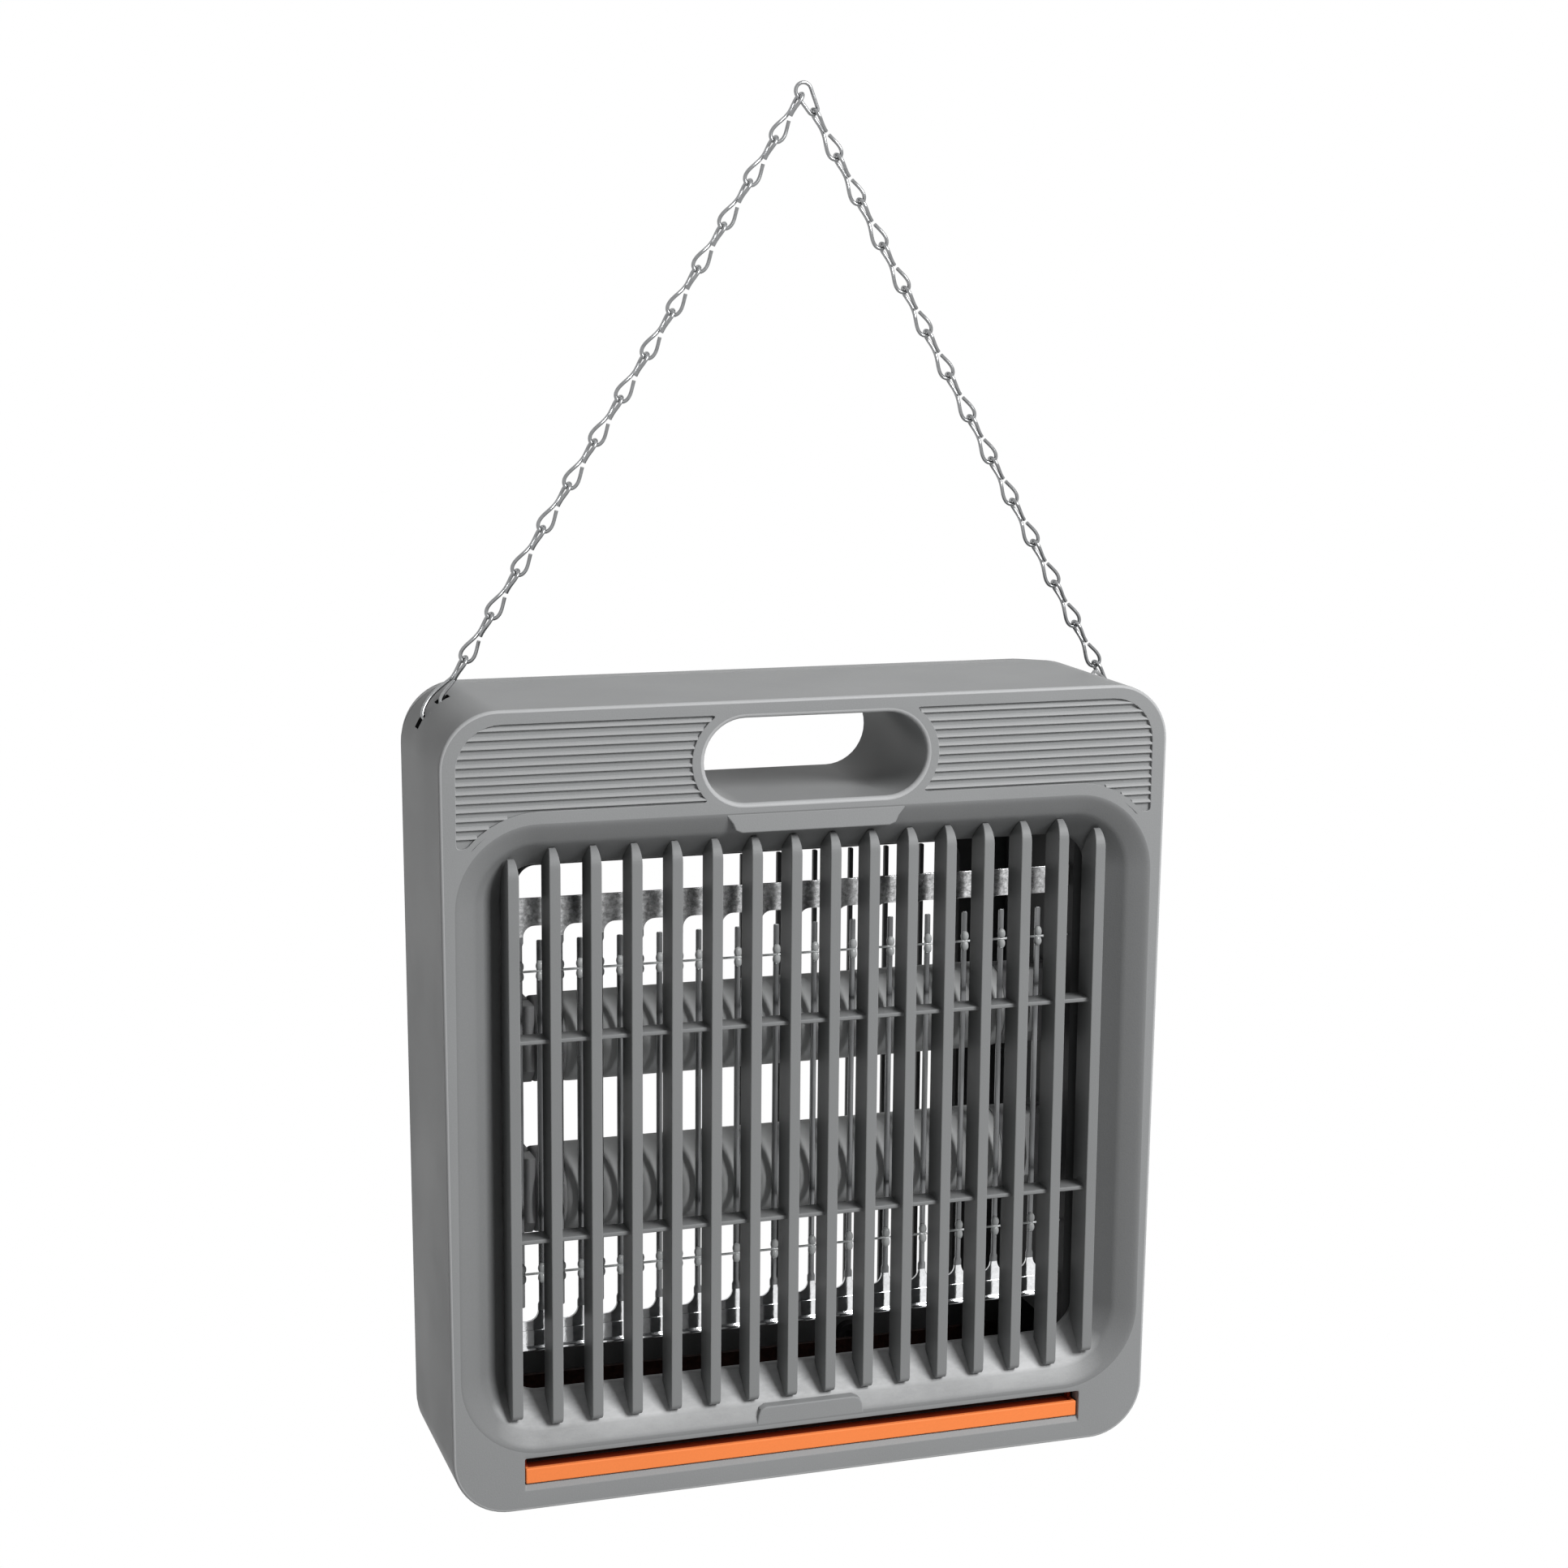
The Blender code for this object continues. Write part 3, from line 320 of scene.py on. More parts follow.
def roundEdges(piece, width, segments=3, sharper=40.0):
    soft = piece.modifiers.new("soft", "BEVEL")
    soft.width = width / 1000
    soft.segments = segments
    soft.limit_method = "ANGLE"
    soft.angle_limit = math.radians(sharper)


def facesOut(bm):
    bmesh.ops.recalc_face_normals(bm, faces=bm.faces)


def addRing(bm, points):
    return [bm.verts.new(p) for p in points]


def joinRings(bm, rings, finish=0):
    for near, far in zip(rings, rings[1:]):
        for i in range(len(near)):
            j = (i + 1) % len(near)
            bm.faces.new((near[i], near[j], far[j], far[i])).material_index = finish


def capRings(bm, rings):
    joinRings(bm, rings)
    bm.faces.new(rings[0])
    bm.faces.new(rings[-1])


def fillFace(bm, rings, way):  # flat face between rings, to the front for -1 and to the back for 1
    edges = []
    for ring in rings:
        for pair in zip(ring, ring[1:] + ring[:1]):
            edges.append(bm.edges.get(pair) or bm.edges.new(pair))
    bmesh.ops.triangle_fill(bm, edges=edges, use_beauty=True, normal=(0, way, 0))


def turnShell(bm, way):  # an open shell looks out at its front for -1, at its back for 1
    facesOut(bm)
    last = max(bm.faces, key=lambda face: way * face.calc_center_median().y)
    if way * last.normal.y < 0:
        bmesh.ops.reverse_faces(bm, faces=bm.faces)


def addPrism(bm, points, shift):
    near = addRing(bm, points)
    far = addRing(bm, [p + shift for p in points])
    faces = [bm.faces.new(near), bm.faces.new(far[::-1])]
    for i in range(len(near)):
        j = (i + 1) % len(near)
        faces.append(bm.faces.new((near[i], far[i], far[j], near[j])))
    return faces


def addBox(bm, low, high):
    (x0, y0, z0), (x1, y1, z1) = low, high
    shape = ((x0, z0), (x1, z0), (x1, z1), (x0, z1))
    addPrism(bm, [Vector((x, y0, z)) for x, z in shape], Vector((0, y1 - y0, 0)))


def addTurned(bm, stations, y, z, sides):  # round bar along the width, from places and radii
    turns = [2 * math.pi * k / sides for k in range(sides)]
    rings = []
    for x, r in stations:
        rings.append(addRing(bm, [at(x, y + r * math.cos(a), z + r * math.sin(a)) for a in turns]))
    capRings(bm, rings)


def softenEdges(bm, width, segments=2, sharper=50.0):
    facesOut(bm)
    limit = math.radians(sharper)
    sharp = [e for e in bm.edges if len(e.link_faces) == 2 and e.calc_face_angle() > limit]
    bmesh.ops.bevel(bm, geom=sharp, offset=width / 1000, segments=segments, profile=0.5,
                    affect="EDGES", clamp_overlap=True)


def bakePiece(piece):
    graph = bpy.context.evaluated_depsgraph_get()
    mesh = bpy.data.meshes.new_from_object(piece.evaluated_get(graph), depsgraph=graph)
    piece.modifiers.clear()
    piece.data = mesh
    smoothFaces(mesh)


def cutPiece(piece, bm):
    facesOut(bm)
    cutter = placeMesh("cutter", bm)
    cut = piece.modifiers.new("cut", "BOOLEAN")
    cut.operation = "DIFFERENCE"
    cut.solver = "EXACT"
    cut.object = cutter
    bakePiece(piece)
    bpy.data.objects.remove(cutter)


# case outline shared by both shells

case = {
    "half": 156.1, "height": 334.2, "depth": 103.0, "parting": 78.0, "partingGap": 0.3, "footInset": 2.3,
    "rearDraft": 5.0, "roofDraft": 2.4, "corner": 24.0, "cornerSteps": 14, "edge": 1.2, "wall": 2.2,
    "seam": 0.8, "frontBand": 12.0,
}


def drawnIn(y, amount):  # only the rear shell has draft
    return amount * max(y - case["parting"], 0) / (case["depth"] - case["parting"])


def roundedLoop(y, half, bottom, top, radius, lean=0.0, steps=case["cornerSteps"]):
    points = []
    corners = ((1, 1, 0), (-1, 1, 90), (-1, -1, 180), (1, -1, 270))
    for side, level, start in corners:
        x = side * (half - radius - (lean if level < 0 else 0))
        z = top - radius if level > 0 else bottom + radius
        for k in range(steps + 1):
            angle = math.radians(start + 90 * k / steps)
            points.append(at(x + radius * math.cos(angle), y, z + radius * math.sin(angle)))
    return points


def caseLoop(y, inset=0.0):
    half = case["half"] - drawnIn(y, case["rearDraft"]) - inset
    top = case["height"] - drawnIn(y, case["roofDraft"]) - inset
    return roundedLoop(y, half, inset, top, case["corner"] - inset, case["footInset"])


def stadiumLoop(y, half, bottom, top, grow=0.0, steps=20):
    radius = (top - bottom) / 2 + grow
    middle = (top + bottom) / 2
    points = []
    for side, start in ((1, -90), (-1, 90)):
        for k in range(steps + 1):
            angle = math.radians(start + 180 * k / steps)
            x = side * (half + grow - radius) + radius * math.cos(angle)
            points.append(at(x, y, middle + radius * math.sin(angle)))
    return points


def quarter(radius, steps=5):  # depth and inset round an outside edge, from the wall to the face
    turns = [math.radians(90 * k / steps) for k in range(steps + 1)]
    return [(radius * (1 - math.sin(a)), radius * (1 - math.cos(a))) for a in turns]


def thicken(shell, inside):
    shell.data.materials.append(finishes[inside])
    thick = shell.modifiers.new("thick", "SOLIDIFY")
    thick.thickness = case["wall"] / 1000
    thick.offset = -1.0
    thick.material_offset = len(shell.data.materials) - 1
    bakePiece(shell)


# front shell

dish = {
    "half": 149.0, "bottom": 25.7, "top": 287.0, "radius": 33.0,
    "aside": 2.4, "asideFrom": 9.0, "asideOver": 9.0,  # the sides run further in at depth
    "ramp": (  # depth and inset
        (0.0, -1.2), (0.12, -0.4), (0.5, 0.5), (1.2, 1.75), (2.6, 4.0), (4.3, 6.6), (5.0, 7.55),
        (6.0, 8.6), (9.0, 11.1), (13.0, 14.4), (17.0, 17.8), (17.8, 18.5), (18.6, 18.8), (20.2, 18.8),
    ),
}
handleSlot = {
    "half": 47.8, "bottom": 292.1, "top": 326.9, "round": 1.7,
    "rearHalf": 59.3, "rearBottom": 287.6, "rearTop": 326.6, "rearRound": 1.4, "web": 0.6, "webGrow": 0.2,
}
traySlot = {
    "half": 123.7, "bottom": 10.5, "top": 22.4, "corner": 0.8, "cornerSteps": 3,
    "mouth": ((0.0, 0.7, 1.6), (0.25, 0.21, 1.6), (1.6, 0.0, 0.0), (7.0, 0.0, 0.0)),  # depth, growth, lip
}
grip = {
    "outer": 149.5, "top": 328.6, "bottom": 293.0, "topCorner": 18.5, "endRound": 22.3, "endMiddle": 30.6,
    "endHeight": 309.5, "sweep": 39.0, "sweepX": 116.0, "sweepZ": 254.0, "tail": 279.5, "bend": 3.0,
    "tailBend": 1.8, "middle": (100.0, 308.0), "endSteps": 12, "cornerSteps": 10, "sweepSteps": 8,
    "brow": ((0.0, 0.0), (0.12, 0.12), (0.4, 0.2)), "deep": 1.35, "floorInset": 0.25,  # depth and inset
}
ridges = {
    "count": 13, "first": 2.4, "pitch": 3.55, "into": 0.5,
    "profile": (  # out of the panel, up
        (0.1, 1.3), (-0.6075, 0.9), (-1.1475, 0.45), (-1.3, 0.05), (-1.242, -0.2), (-0.675, -0.32),
        (0.1, -0.38),
    ),
}
tabs = {
    "front": 0.02, "thick": 7.0, "cornerShare": 0.3, "soft": 0.7,
    "upper": {"root": 39.2, "tip": 35.8, "from": 288.0, "to": 279.8, "round": 4.0},
    "lower": {"root": 24.0, "tip": 23.2, "from": 24.6, "to": 32.6, "round": 3.6},
}
# the edge finish is a painted highlight on rounded edges; the dark inside of the wall is painted shade
shellFinishes = ("case", "edge", "ramp", "dark")  # the last is the inside of the wall
anchor = {"depth": 54.0, "angles": (31.0, 62.0), "hole": 6.2, "cutFrom": 6.0, "cut": 12.0}  # cut outwards


def dishLoop(y, inset):
    share = min(max((y - dish["asideFrom"]) / dish["asideOver"], 0), 1)
    half = dish["half"] - inset - dish["aside"] * share
    return roundedLoop(y, half, dish["bottom"] + inset, dish["top"] - inset, dish["radius"] - inset)


def trayLoop(y, grow, lip):
    bottom, top = traySlot["bottom"] - grow - lip, traySlot["top"] + grow
    half, steps = traySlot["half"] + grow, traySlot["cornerSteps"]
    return roundedLoop(y, half, bottom, top, traySlot["corner"], steps=steps)


def gripInner(z):
    if z >= grip["bottom"]:
        reach = grip["endRound"] ** 2 - (z - grip["endHeight"]) ** 2
        return grip["endMiddle"] + math.sqrt(max(reach, 0))
    return grip["sweepX"] + math.sqrt(max(grip["sweep"] ** 2 - (z - grip["sweepZ"]) ** 2, 0))


def gripOuter(z):
    over = z - (grip["top"] - grip["topCorner"])
    if over <= 0:
        return grip["outer"]
    return grip["outer"] - grip["topCorner"] + math.sqrt(max(grip["topCorner"] ** 2 - over**2, 0))


def arcPoints(x, z, radius, first, last, steps):
    turns = [first + (last - first) * k / steps for k in range(steps + 1)]
    return [Vector((x + radius * math.cos(a), z + radius * math.sin(a))) for a in turns]


def bendCorner(before, corner, after, reach, steps=6):
    start = corner + (before - corner).normalized() * reach
    end = corner + (after - corner).normalized() * reach
    shares = [k / steps for k in range(steps + 1)]
    return [start.lerp(corner, t).lerp(corner.lerp(end, t), t) for t in shares]


def gripOutline(side, y, inset):
    low, high, steps = grip["bottom"], grip["top"], grip["endSteps"]
    levels = [low + (high - low) * k / steps for k in range(steps + 1)]
    inner = [Vector((gripInner(z), z)) for z in levels]  # round inner end, upwards
    corner, up = grip["topCorner"], math.pi / 2
    arc = arcPoints(grip["outer"] - corner, high - corner, corner, up, 0, grip["cornerSteps"])
    tip = Vector((grip["outer"], grip["tail"]))
    first = math.asin((grip["tail"] - grip["sweepZ"]) / grip["sweep"])
    sweep = arcPoints(grip["sweepX"], grip["sweepZ"], grip["sweep"], first, up, grip["sweepSteps"])
    outline = bendCorner(sweep[-1], inner[0], inner[1], grip["bend"]) + inner[1:-1]
    outline += bendCorner(inner[-2], inner[-1], arc[0], grip["bend"]) + arc
    outline += bendCorner(arc[-1], tip, sweep[0], grip["tailBend"])
    outline += bendCorner(tip, sweep[0], sweep[1], grip["tailBend"]) + sweep[1:]
    middle = Vector(grip["middle"])
    drawn = [p + (middle - p).normalized() * inset for p in outline]
    placed = [at(side * p.x, y, p.y) for p in drawn]
    return placed if side > 0 else placed[::-1]


def buildFrontShell():
    bm = bmesh.new()
    parting, seam, edge = case["parting"], case["seam"], case["edge"]
    outer = [caseLoop(parting, seam), caseLoop(parting - seam), caseLoop(edge + case["frontBand"])]
    outer += [caseLoop(y, inset) for y, inset in quarter(edge)]
    outerRings = [addRing(bm, loop) for loop in outer]
    dishRings = [addRing(bm, dishLoop(y, inset)) for y, inset in dish["ramp"]]
    shape = (handleSlot["half"], handleSlot["bottom"], handleSlot["top"])
    bends = quarter(handleSlot["round"])[::-1]
    slotRings = [addRing(bm, stadiumLoop(y, *shape, grow)) for y, grow in bends]
    slotRings.append(addRing(bm, stadiumLoop(parting, *shape)))
    trayRings = [addRing(bm, trayLoop(*step)) for step in traySlot["mouth"]]
    gripSteps = (*grip["brow"], (grip["deep"], grip["floorInset"]))
    gripRings = []
    for side in (-1, 1):
        gripRings.append([addRing(bm, gripOutline(side, y, inset)) for y, inset in gripSteps])
    bent, brow = len(bends), len(grip["brow"])
    # the rounded edges take the lighter edge finish, a painted highlight
    paintedEdgeHighlight = shellFinishes.index("edge")
    joinRings(bm, outerRings[:-bent + 1])
    joinRings(bm, outerRings[-bent:], paintedEdgeHighlight)
    joinRings(bm, dishRings, shellFinishes.index("ramp"))
    joinRings(bm, slotRings[:bent], paintedEdgeHighlight)
    joinRings(bm, slotRings[bent - 1:])
    joinRings(bm, trayRings)
    for rings in gripRings:
        joinRings(bm, rings[:brow], paintedEdgeHighlight)
        joinRings(bm, rings[brow - 1:])
    openings = [dishRings[0], slotRings[0], trayRings[0], gripRings[0][0], gripRings[1][0]]
    fillFace(bm, [outerRings[-1]] + openings, -1)
    for rings in gripRings:
        fillFace(bm, rings[-1:], -1)
    turnShell(bm, -1)
    shell = addPiece("frontShell", bm, "case", ("front_shell",))
    for name in shellFinishes[1:-1]:
        shell.data.materials.append(finishes[name])
    # painted shade: the inside of the front shell's wall is near black
    thicken(shell, shellFinishes[-1])
    cutPiece(shell, chainHoles())
    evenNormals(shell)


def chainHoles():
    bm = bmesh.new()
    half = case["half"] - case["corner"]
    top = case["height"] - case["corner"]
    size = anchor["hole"] / 2
    inner = case["corner"] - anchor["cutFrom"]
    across = Vector((0, size, 0)) / 1000
    for side in (-1, 1):
        for degrees in anchor["angles"]:
            angle = math.radians(degrees)
            out = Vector((side * math.cos(angle), 0, math.sin(angle)))
            step = Vector((-side * math.sin(angle), 0, math.cos(angle))) * size / 1000
            middle = at(side * half, anchor["depth"], top) + out * inner / 1000
            near, far = middle - across, middle + across
            square = [near - step, near + step, far + step, far - step]
            for face in addPrism(bm, square, out * (anchor["cut"] / 1000)):
                # painted shade: the hole walls are near black
                face.material_index = shellFinishes.index("dark")
    return bm


def buildGripRibs():
    bm = bmesh.new()
    for k in range(ridges["count"]):
        z = grip["top"] - ridges["first"] - ridges["pitch"] * k
        ends = (gripInner(z) - ridges["into"], gripOuter(z) + ridges["into"])  # both lie in the wall
        for side in (-1, 1):
            rings = []
            for x in ends:
                loop = [at(side * x, grip["deep"] + out, z + up) for out, up in ridges["profile"]]
                rings.append(addRing(bm, loop))
            capRings(bm, rings)
    facesOut(bm)
    # the ridges take a lighter grey, a painted highlight
    addPiece("gripRibs", bm, "ribHighlight", smoothTo=60)


def buildTabs():
    bm = bmesh.new()
    for tab in (tabs["upper"], tabs["lower"]):
        bend = tab["round"] if tab["to"] > tab["from"] else -tab["round"]
        share, tip, base = tabs["cornerShare"], tab["tip"], tab["to"]
        right = [(tab["root"], tab["from"]), (tip, base - bend)]
        right += [(tip - share * tab["round"], base - share * bend), (tip - tab["round"], base)]
        shape = right + [(-x, z) for x, z in reversed(right)]
        addPrism(bm, [at(x, tabs["front"], z) for x, z in shape], Vector((0, tabs["thick"] / 1000, 0)))
    softenEdges(bm, tabs["soft"], segments=3)
    evenNormals(addPiece("dishTabs", bm, "case"))


# rear shell

rearWindow = {"half": 102.0, "bottom": 34.0, "top": 249.5, "radius": 8.0, "round": 1.2}


def buildRearShell():
    bm = bmesh.new()
    depth, seam = case["depth"], case["seam"]
    start = case["parting"] + case["partingGap"]
    outer = [caseLoop(start, seam), caseLoop(start + seam)]
    outer += [caseLoop(depth - y, inset) for y, inset in quarter(case["edge"])]
    outerRings = [addRing(bm, loop) for loop in outer]
    windowRings = []
    for y, grow in quarter(rearWindow["round"]):
        half, radius = rearWindow["half"] + grow, rearWindow["radius"] + grow
        bottom, top = rearWindow["bottom"] - grow, rearWindow["top"] + grow
        windowRings.append(addRing(bm, roundedLoop(depth - y, half, bottom, top, radius)))
    windowRings.reverse()
    shape = (handleSlot["rearHalf"], handleSlot["rearBottom"], handleSlot["rearTop"])
    slotRings = []
    for y, grow in quarter(handleSlot["rearRound"]):
        slotRings.append(addRing(bm, stadiumLoop(depth - y, *shape, grow)))
    slotRings.reverse()
    slotRings.append(addRing(bm, stadiumLoop(start + handleSlot["web"], *shape)))
    sleeve = (handleSlot["half"], handleSlot["bottom"], handleSlot["top"], handleSlot["webGrow"])
    slotRings.append(addRing(bm, stadiumLoop(start, *sleeve)))  # web back to the front sleeve
    backRings = []
    for rings in (outerRings, windowRings, slotRings):
        joinRings(bm, rings)
        backRings.append(max(rings, key=lambda ring: ring[0].co.y))
    fillFace(bm, backRings, 1)
    turnShell(bm, 1)
    shell = addPiece("rearShell", bm, "case", ("rear_shell",))
    # painted shade: the inside of the rear shell's wall takes the dark panel grey
    thicken(shell, "panel")
    evenNormals(shell)


# guards

fins = {
    "count": 16, "pitch": 254 / 15, "shift": 0.8, "thick": 4.7, "front": 1.8, "back": 16.2,
    "bottom": 34.8, "top": 277.8, "roll": 9.0, "toe": 3.0, "turns": 8, "round": 1.8, "slim": 0.5,
    "clear": 0.3, "rampFrom": 5.5, "endInset": 8.0,
}
plates = {"heights": (113.6, 197.6), "half": 0.9, "front": 5.0, "back": 15.6, "soft": 0.5}
rearBars = {
    "half": 101.7, "bottom": 34.3, "top": 249.2, "barHalf": 1.0, "front": 100.0, "back": 102.7,
    "endRoom": 4.0, "plates": (107.2, 172.7), "plateHalf": 1.1, "plateFront": 96.0, "plateBack": 101.0,
    "soft": 0.45,
}
gridPlaces = [(i - (fins["count"] - 1) / 2) * fins["pitch"] for i in range(fins["count"])]
gapPlaces = [(a + b) / 2 for a, b in zip(gridPlaces, gridPlaces[1:])]
finPlaces = [x + fins["shift"] for x in gridPlaces]


def rampInset(y):
    for (y0, inset0), (y1, inset1) in zip(dish["ramp"], dish["ramp"][1:]):
        if y <= y1:
            return inset0 + (inset1 - inset0) * (y - y0) / (y1 - y0)
    return dish["ramp"][-1][1]


def dishReach(x, inset):
    half = (dish["top"] - dish["bottom"]) / 2
    over = abs(x) - (dish["half"] - dish["radius"])
    if over <= 0:
        return half - inset
    return half - dish["radius"] + math.sqrt(max((dish["radius"] - inset) ** 2 - over**2, 0))


def finSide(x):  # the side of a fin nearer to the wall
    return abs(x) + fins["thick"] / 2


def finDrop(x):  # fins are shorter in the dish's corners
    inset = fins["endInset"]
    return max(dishReach(0, inset) - dishReach(finSide(x), inset), 0)


def shortfall(y, radius):
    t = max(1 - (y - fins["front"]) / radius, 0)
    return radius * (1 - math.sqrt(max(1 - t * t, 0)))


def finDepths():
    found = {fins["back"]}
    found |= {y for y, _ in dish["ramp"] if fins["rampFrom"] < y < fins["back"]}
    for radius in (fins["roll"], fins["toe"]):
        found |= {round(fins["front"] + deep, 4) for _, deep in quarter(radius, fins["turns"])}
    return sorted(found)


def slimTips(bm):  # fronts slim to a round tip
    for v in bm.verts:
        x = (v.co.x - caseMid) * 1000
        near = min(finPlaces, key=lambda place: abs(place - x))
        over = (v.co.z - caseLow.z) * 1000 - (fins["top"] - finDrop(near) - fins["roll"])
        share = min(max(over / fins["roll"], 0), 1)
        v.co.x = caseMid + (near + (x - near) * (1 - fins["slim"] * share**2)) / 1000


def buildFrontGuard():
    bm = bmesh.new()
    middle = (dish["top"] + dish["bottom"]) / 2
    depths = finDepths()
    for x in finPlaces:
        top, bottom = fins["top"] - finDrop(x), fins["bottom"] + finDrop(x)
        upper, lower = [], []
        for y in depths:
            limit = dishReach(finSide(x), rampInset(y)) - fins["clear"]
            upper.append((y, min(top - shortfall(y, fins["roll"]), middle + limit)))
            lower.append((y, max(bottom + shortfall(y, fins["toe"]), middle - limit)))
        outline = [at(x - fins["thick"] / 2, y, z) for y, z in upper + lower[::-1]]
        addPrism(bm, outline, Vector((fins["thick"] / 1000, 0, 0)))
    softenEdges(bm, fins["round"], segments=5)
    slimTips(bm)
    evenNormals(addPiece("frontGuard", bm, "fin", ("front_guard",), smoothTo=45))


def buildGuardPlates():
    bm = bmesh.new()
    for z in plates["heights"]:
        low = at(finPlaces[0], plates["front"], z - plates["half"])
        addBox(bm, low, at(finPlaces[-1], plates["back"], z + plates["half"]))
    softenEdges(bm, plates["soft"], segments=3)
    evenNormals(addPiece("guardPlates", bm, "fin"))


def buildRearGuard():
    bm = bmesh.new()
    half, thick = rearBars["half"], rearBars["plateHalf"]
    for x in gapPlaces:
        if abs(x) > half - rearBars["endRoom"]:
            continue
        low = at(x - rearBars["barHalf"], rearBars["front"], rearBars["bottom"])
        addBox(bm, low, at(x + rearBars["barHalf"], rearBars["back"], rearBars["top"]))
    for z in rearBars["plates"]:
        low = at(-half, rearBars["plateFront"], z - thick)
        addBox(bm, low, at(half, rearBars["plateBack"], z + thick))
    softenEdges(bm, rearBars["soft"])
    evenNormals(addPiece("rearGuard", bm, "fin", ("rear_guard",)))


# electrodes

combs = {
    "plane": 26.0, "sheet": 0.8, "half": 121.48, "tooth": 2.5, "root": 4.5, "rootSteps": 7,
    "endRoot": 0.9, "endRoom": 3.0, "shoulder": 0.45, "shoulderDrop": 7.0, "slope": 1.2, "tip": 0.6,
    "tipSteps": 4, "least": 0.02, "fold": 0.5, "overlap": 0.3, "flange": 7.0, "flangeGap": 0.1,
    "lip": 1.0, "lipSides": 12, "lipShort": 4.5, "lipOver": 0.6, "soft": 0.22,
}
upperComb = {"back": 252.6, "fold": 243.7, "root": 240.8, "tip": 77.8, "down": 1, "flangeDrop": 2.4}
lowerComb = {"back": 58.9, "fold": 67.8, "root": 71.8, "tip": 234.8, "down": -1, "flangeDrop": 0.0}
spacers = {
    "radius": 0.5, "sides": 12, "y": 25.2, "end": 123.7, "heights": {"lower": 92.7, "upper": 222.0},
}
clip = {"half": 1.8, "tall": 2.3, "thick": 1.5, "rise": 2.1, "y": 25.65, "steps": 8, "sides": 12}


def toothSide(x, side, comb, fillet):  # round from the web and along one side of a tooth
    half, sign = combs["tooth"] / 2, comb["down"]
    wide = half + combs["shoulder"]
    points = []
    for out, drop in quarter(fillet, combs["rootSteps"]):
        points.append((x + side * (wide + out), comb["root"] - sign * drop))
    step = comb["root"] - sign * combs["shoulderDrop"]
    return points + [(x + side * wide, step), (x + side * half, step - sign * combs["slope"])]


def combOutline(places, comb):
    half, end, sign = combs["tooth"] / 2, combs["half"], comb["down"]
    reach = end - combs["endRoom"]
    corner = quarter(combs["tip"], combs["tipSteps"])
    points = [(-end, comb["root"])]
    for x in places:
        left = combs["root"] if x - half > -reach else combs["endRoot"]
        right = combs["root"] if x + half < reach else combs["endRoot"]
        points += toothSide(x, -1, comb, left)
        points += [(x - half + inset, comb["tip"] + sign * rise) for rise, inset in corner]
        points += [(x + half - inset, comb["tip"] + sign * rise) for inset, rise in corner]
        points += toothSide(x, 1, comb, right)[::-1]
    points += [(end, comb["root"]), (end, comb["back"]), (-end, comb["back"])]
    outline = [points[0]]
    for p in points[1:]:
        if math.dist(p, outline[-1]) > combs["least"]:
            outline.append(p)
    return outline


def buildComb(name, node, finish, places, comb):
    sign, back = comb["down"], comb["back"]
    end, plane, sheet = combs["half"], combs["plane"], combs["sheet"]
    front = plane - combs["fold"]
    bm = bmesh.new()
    addPrism(bm, [at(x, plane, z) for x, z in combOutline(places, comb)], Vector((0, sheet / 1000, 0)))
    strip = at(end, plane + combs["overlap"], back)
    addBox(bm, at(-end, front, comb["fold"]), strip)  # stands proud of the web by its fold
    level = back - comb["flangeDrop"]
    flange = at(end - sheet, plane + combs["flange"], level - sign * sheet)
    addBox(bm, at(sheet - end, plane + combs["flangeGap"], level), flange)  # hidden behind the strip
    softenEdges(bm, combs["soft"])
    foot = at(0, 0, comb["root"] - sign * combs["root"])
    whole = bm.verts[:] + bm.edges[:] + bm.faces[:]
    bmesh.ops.bisect_plane(bm, geom=whole, plane_co=foot, plane_no=(0, 0, 1))
    for face in bm.faces:  # painted shade: teeth past their foot take a darker copy of the zinc
        face.material_index = int((foot.z - face.calc_center_median().z) * sign > 0)
    if sign < 0:  # edge rolled to the front
        lip, reach = combs["lip"], end - combs["lipShort"]
        y = front - combs["lipOver"] * lip
        addTurned(bm, ((-reach, lip), (reach, lip)), y, back + lip, combs["lipSides"])
        facesOut(bm)
    piece = addPiece(name, bm, finish, (node,))
    piece.data.materials.append(finishes["tooth"])
    evenNormals(piece)


def addClip(bm, x, z):  # two beads, one above the rod and one below
    turns = [2 * math.pi * j / clip["sides"] for j in range(clip["sides"])]
    for side in (-1, 1):
        rings = []
        for k in range(1, clip["steps"]):
            angle = math.pi * k / clip["steps"]
            half, thick = clip["half"] * math.sin(angle), clip["thick"] * math.sin(angle)
            up = z + side * clip["rise"] - clip["tall"] * math.cos(angle)
            loop = [at(x + half * math.cos(a), clip["y"] + thick * math.sin(a), up) for a in turns]
            rings.append(addRing(bm, loop))
        capRings(bm, rings)


def buildElectrodes():
    lowerPlaces = gridPlaces[1:-1]
    buildComb("upperElectrode", "upper_electrode", "combDark", gapPlaces, upperComb)
    buildComb("lowerElectrode", "lower_electrode", "combBright", lowerPlaces, lowerComb)
    radius, end = spacers["radius"], spacers["end"]
    for level, z in spacers["heights"].items():
        bm = bmesh.new()
        addTurned(bm, ((-end, radius), (end, radius)), spacers["y"], z, spacers["sides"])
        for x in sorted(gapPlaces + lowerPlaces):  # a clip moulded on over each tooth
            addClip(bm, x, z)
        facesOut(bm)
        addPiece(f"{level}SpacerRod", bm, "clear", (f"{level}_spacer_rod",))


# tray

tray = {
    "bar": 6.6, "barThick": 2.2, "recess": 7.0, "recessDeep": 5.0, "wall": 1.6, "past": 10.0, "soft": 0.5,
}


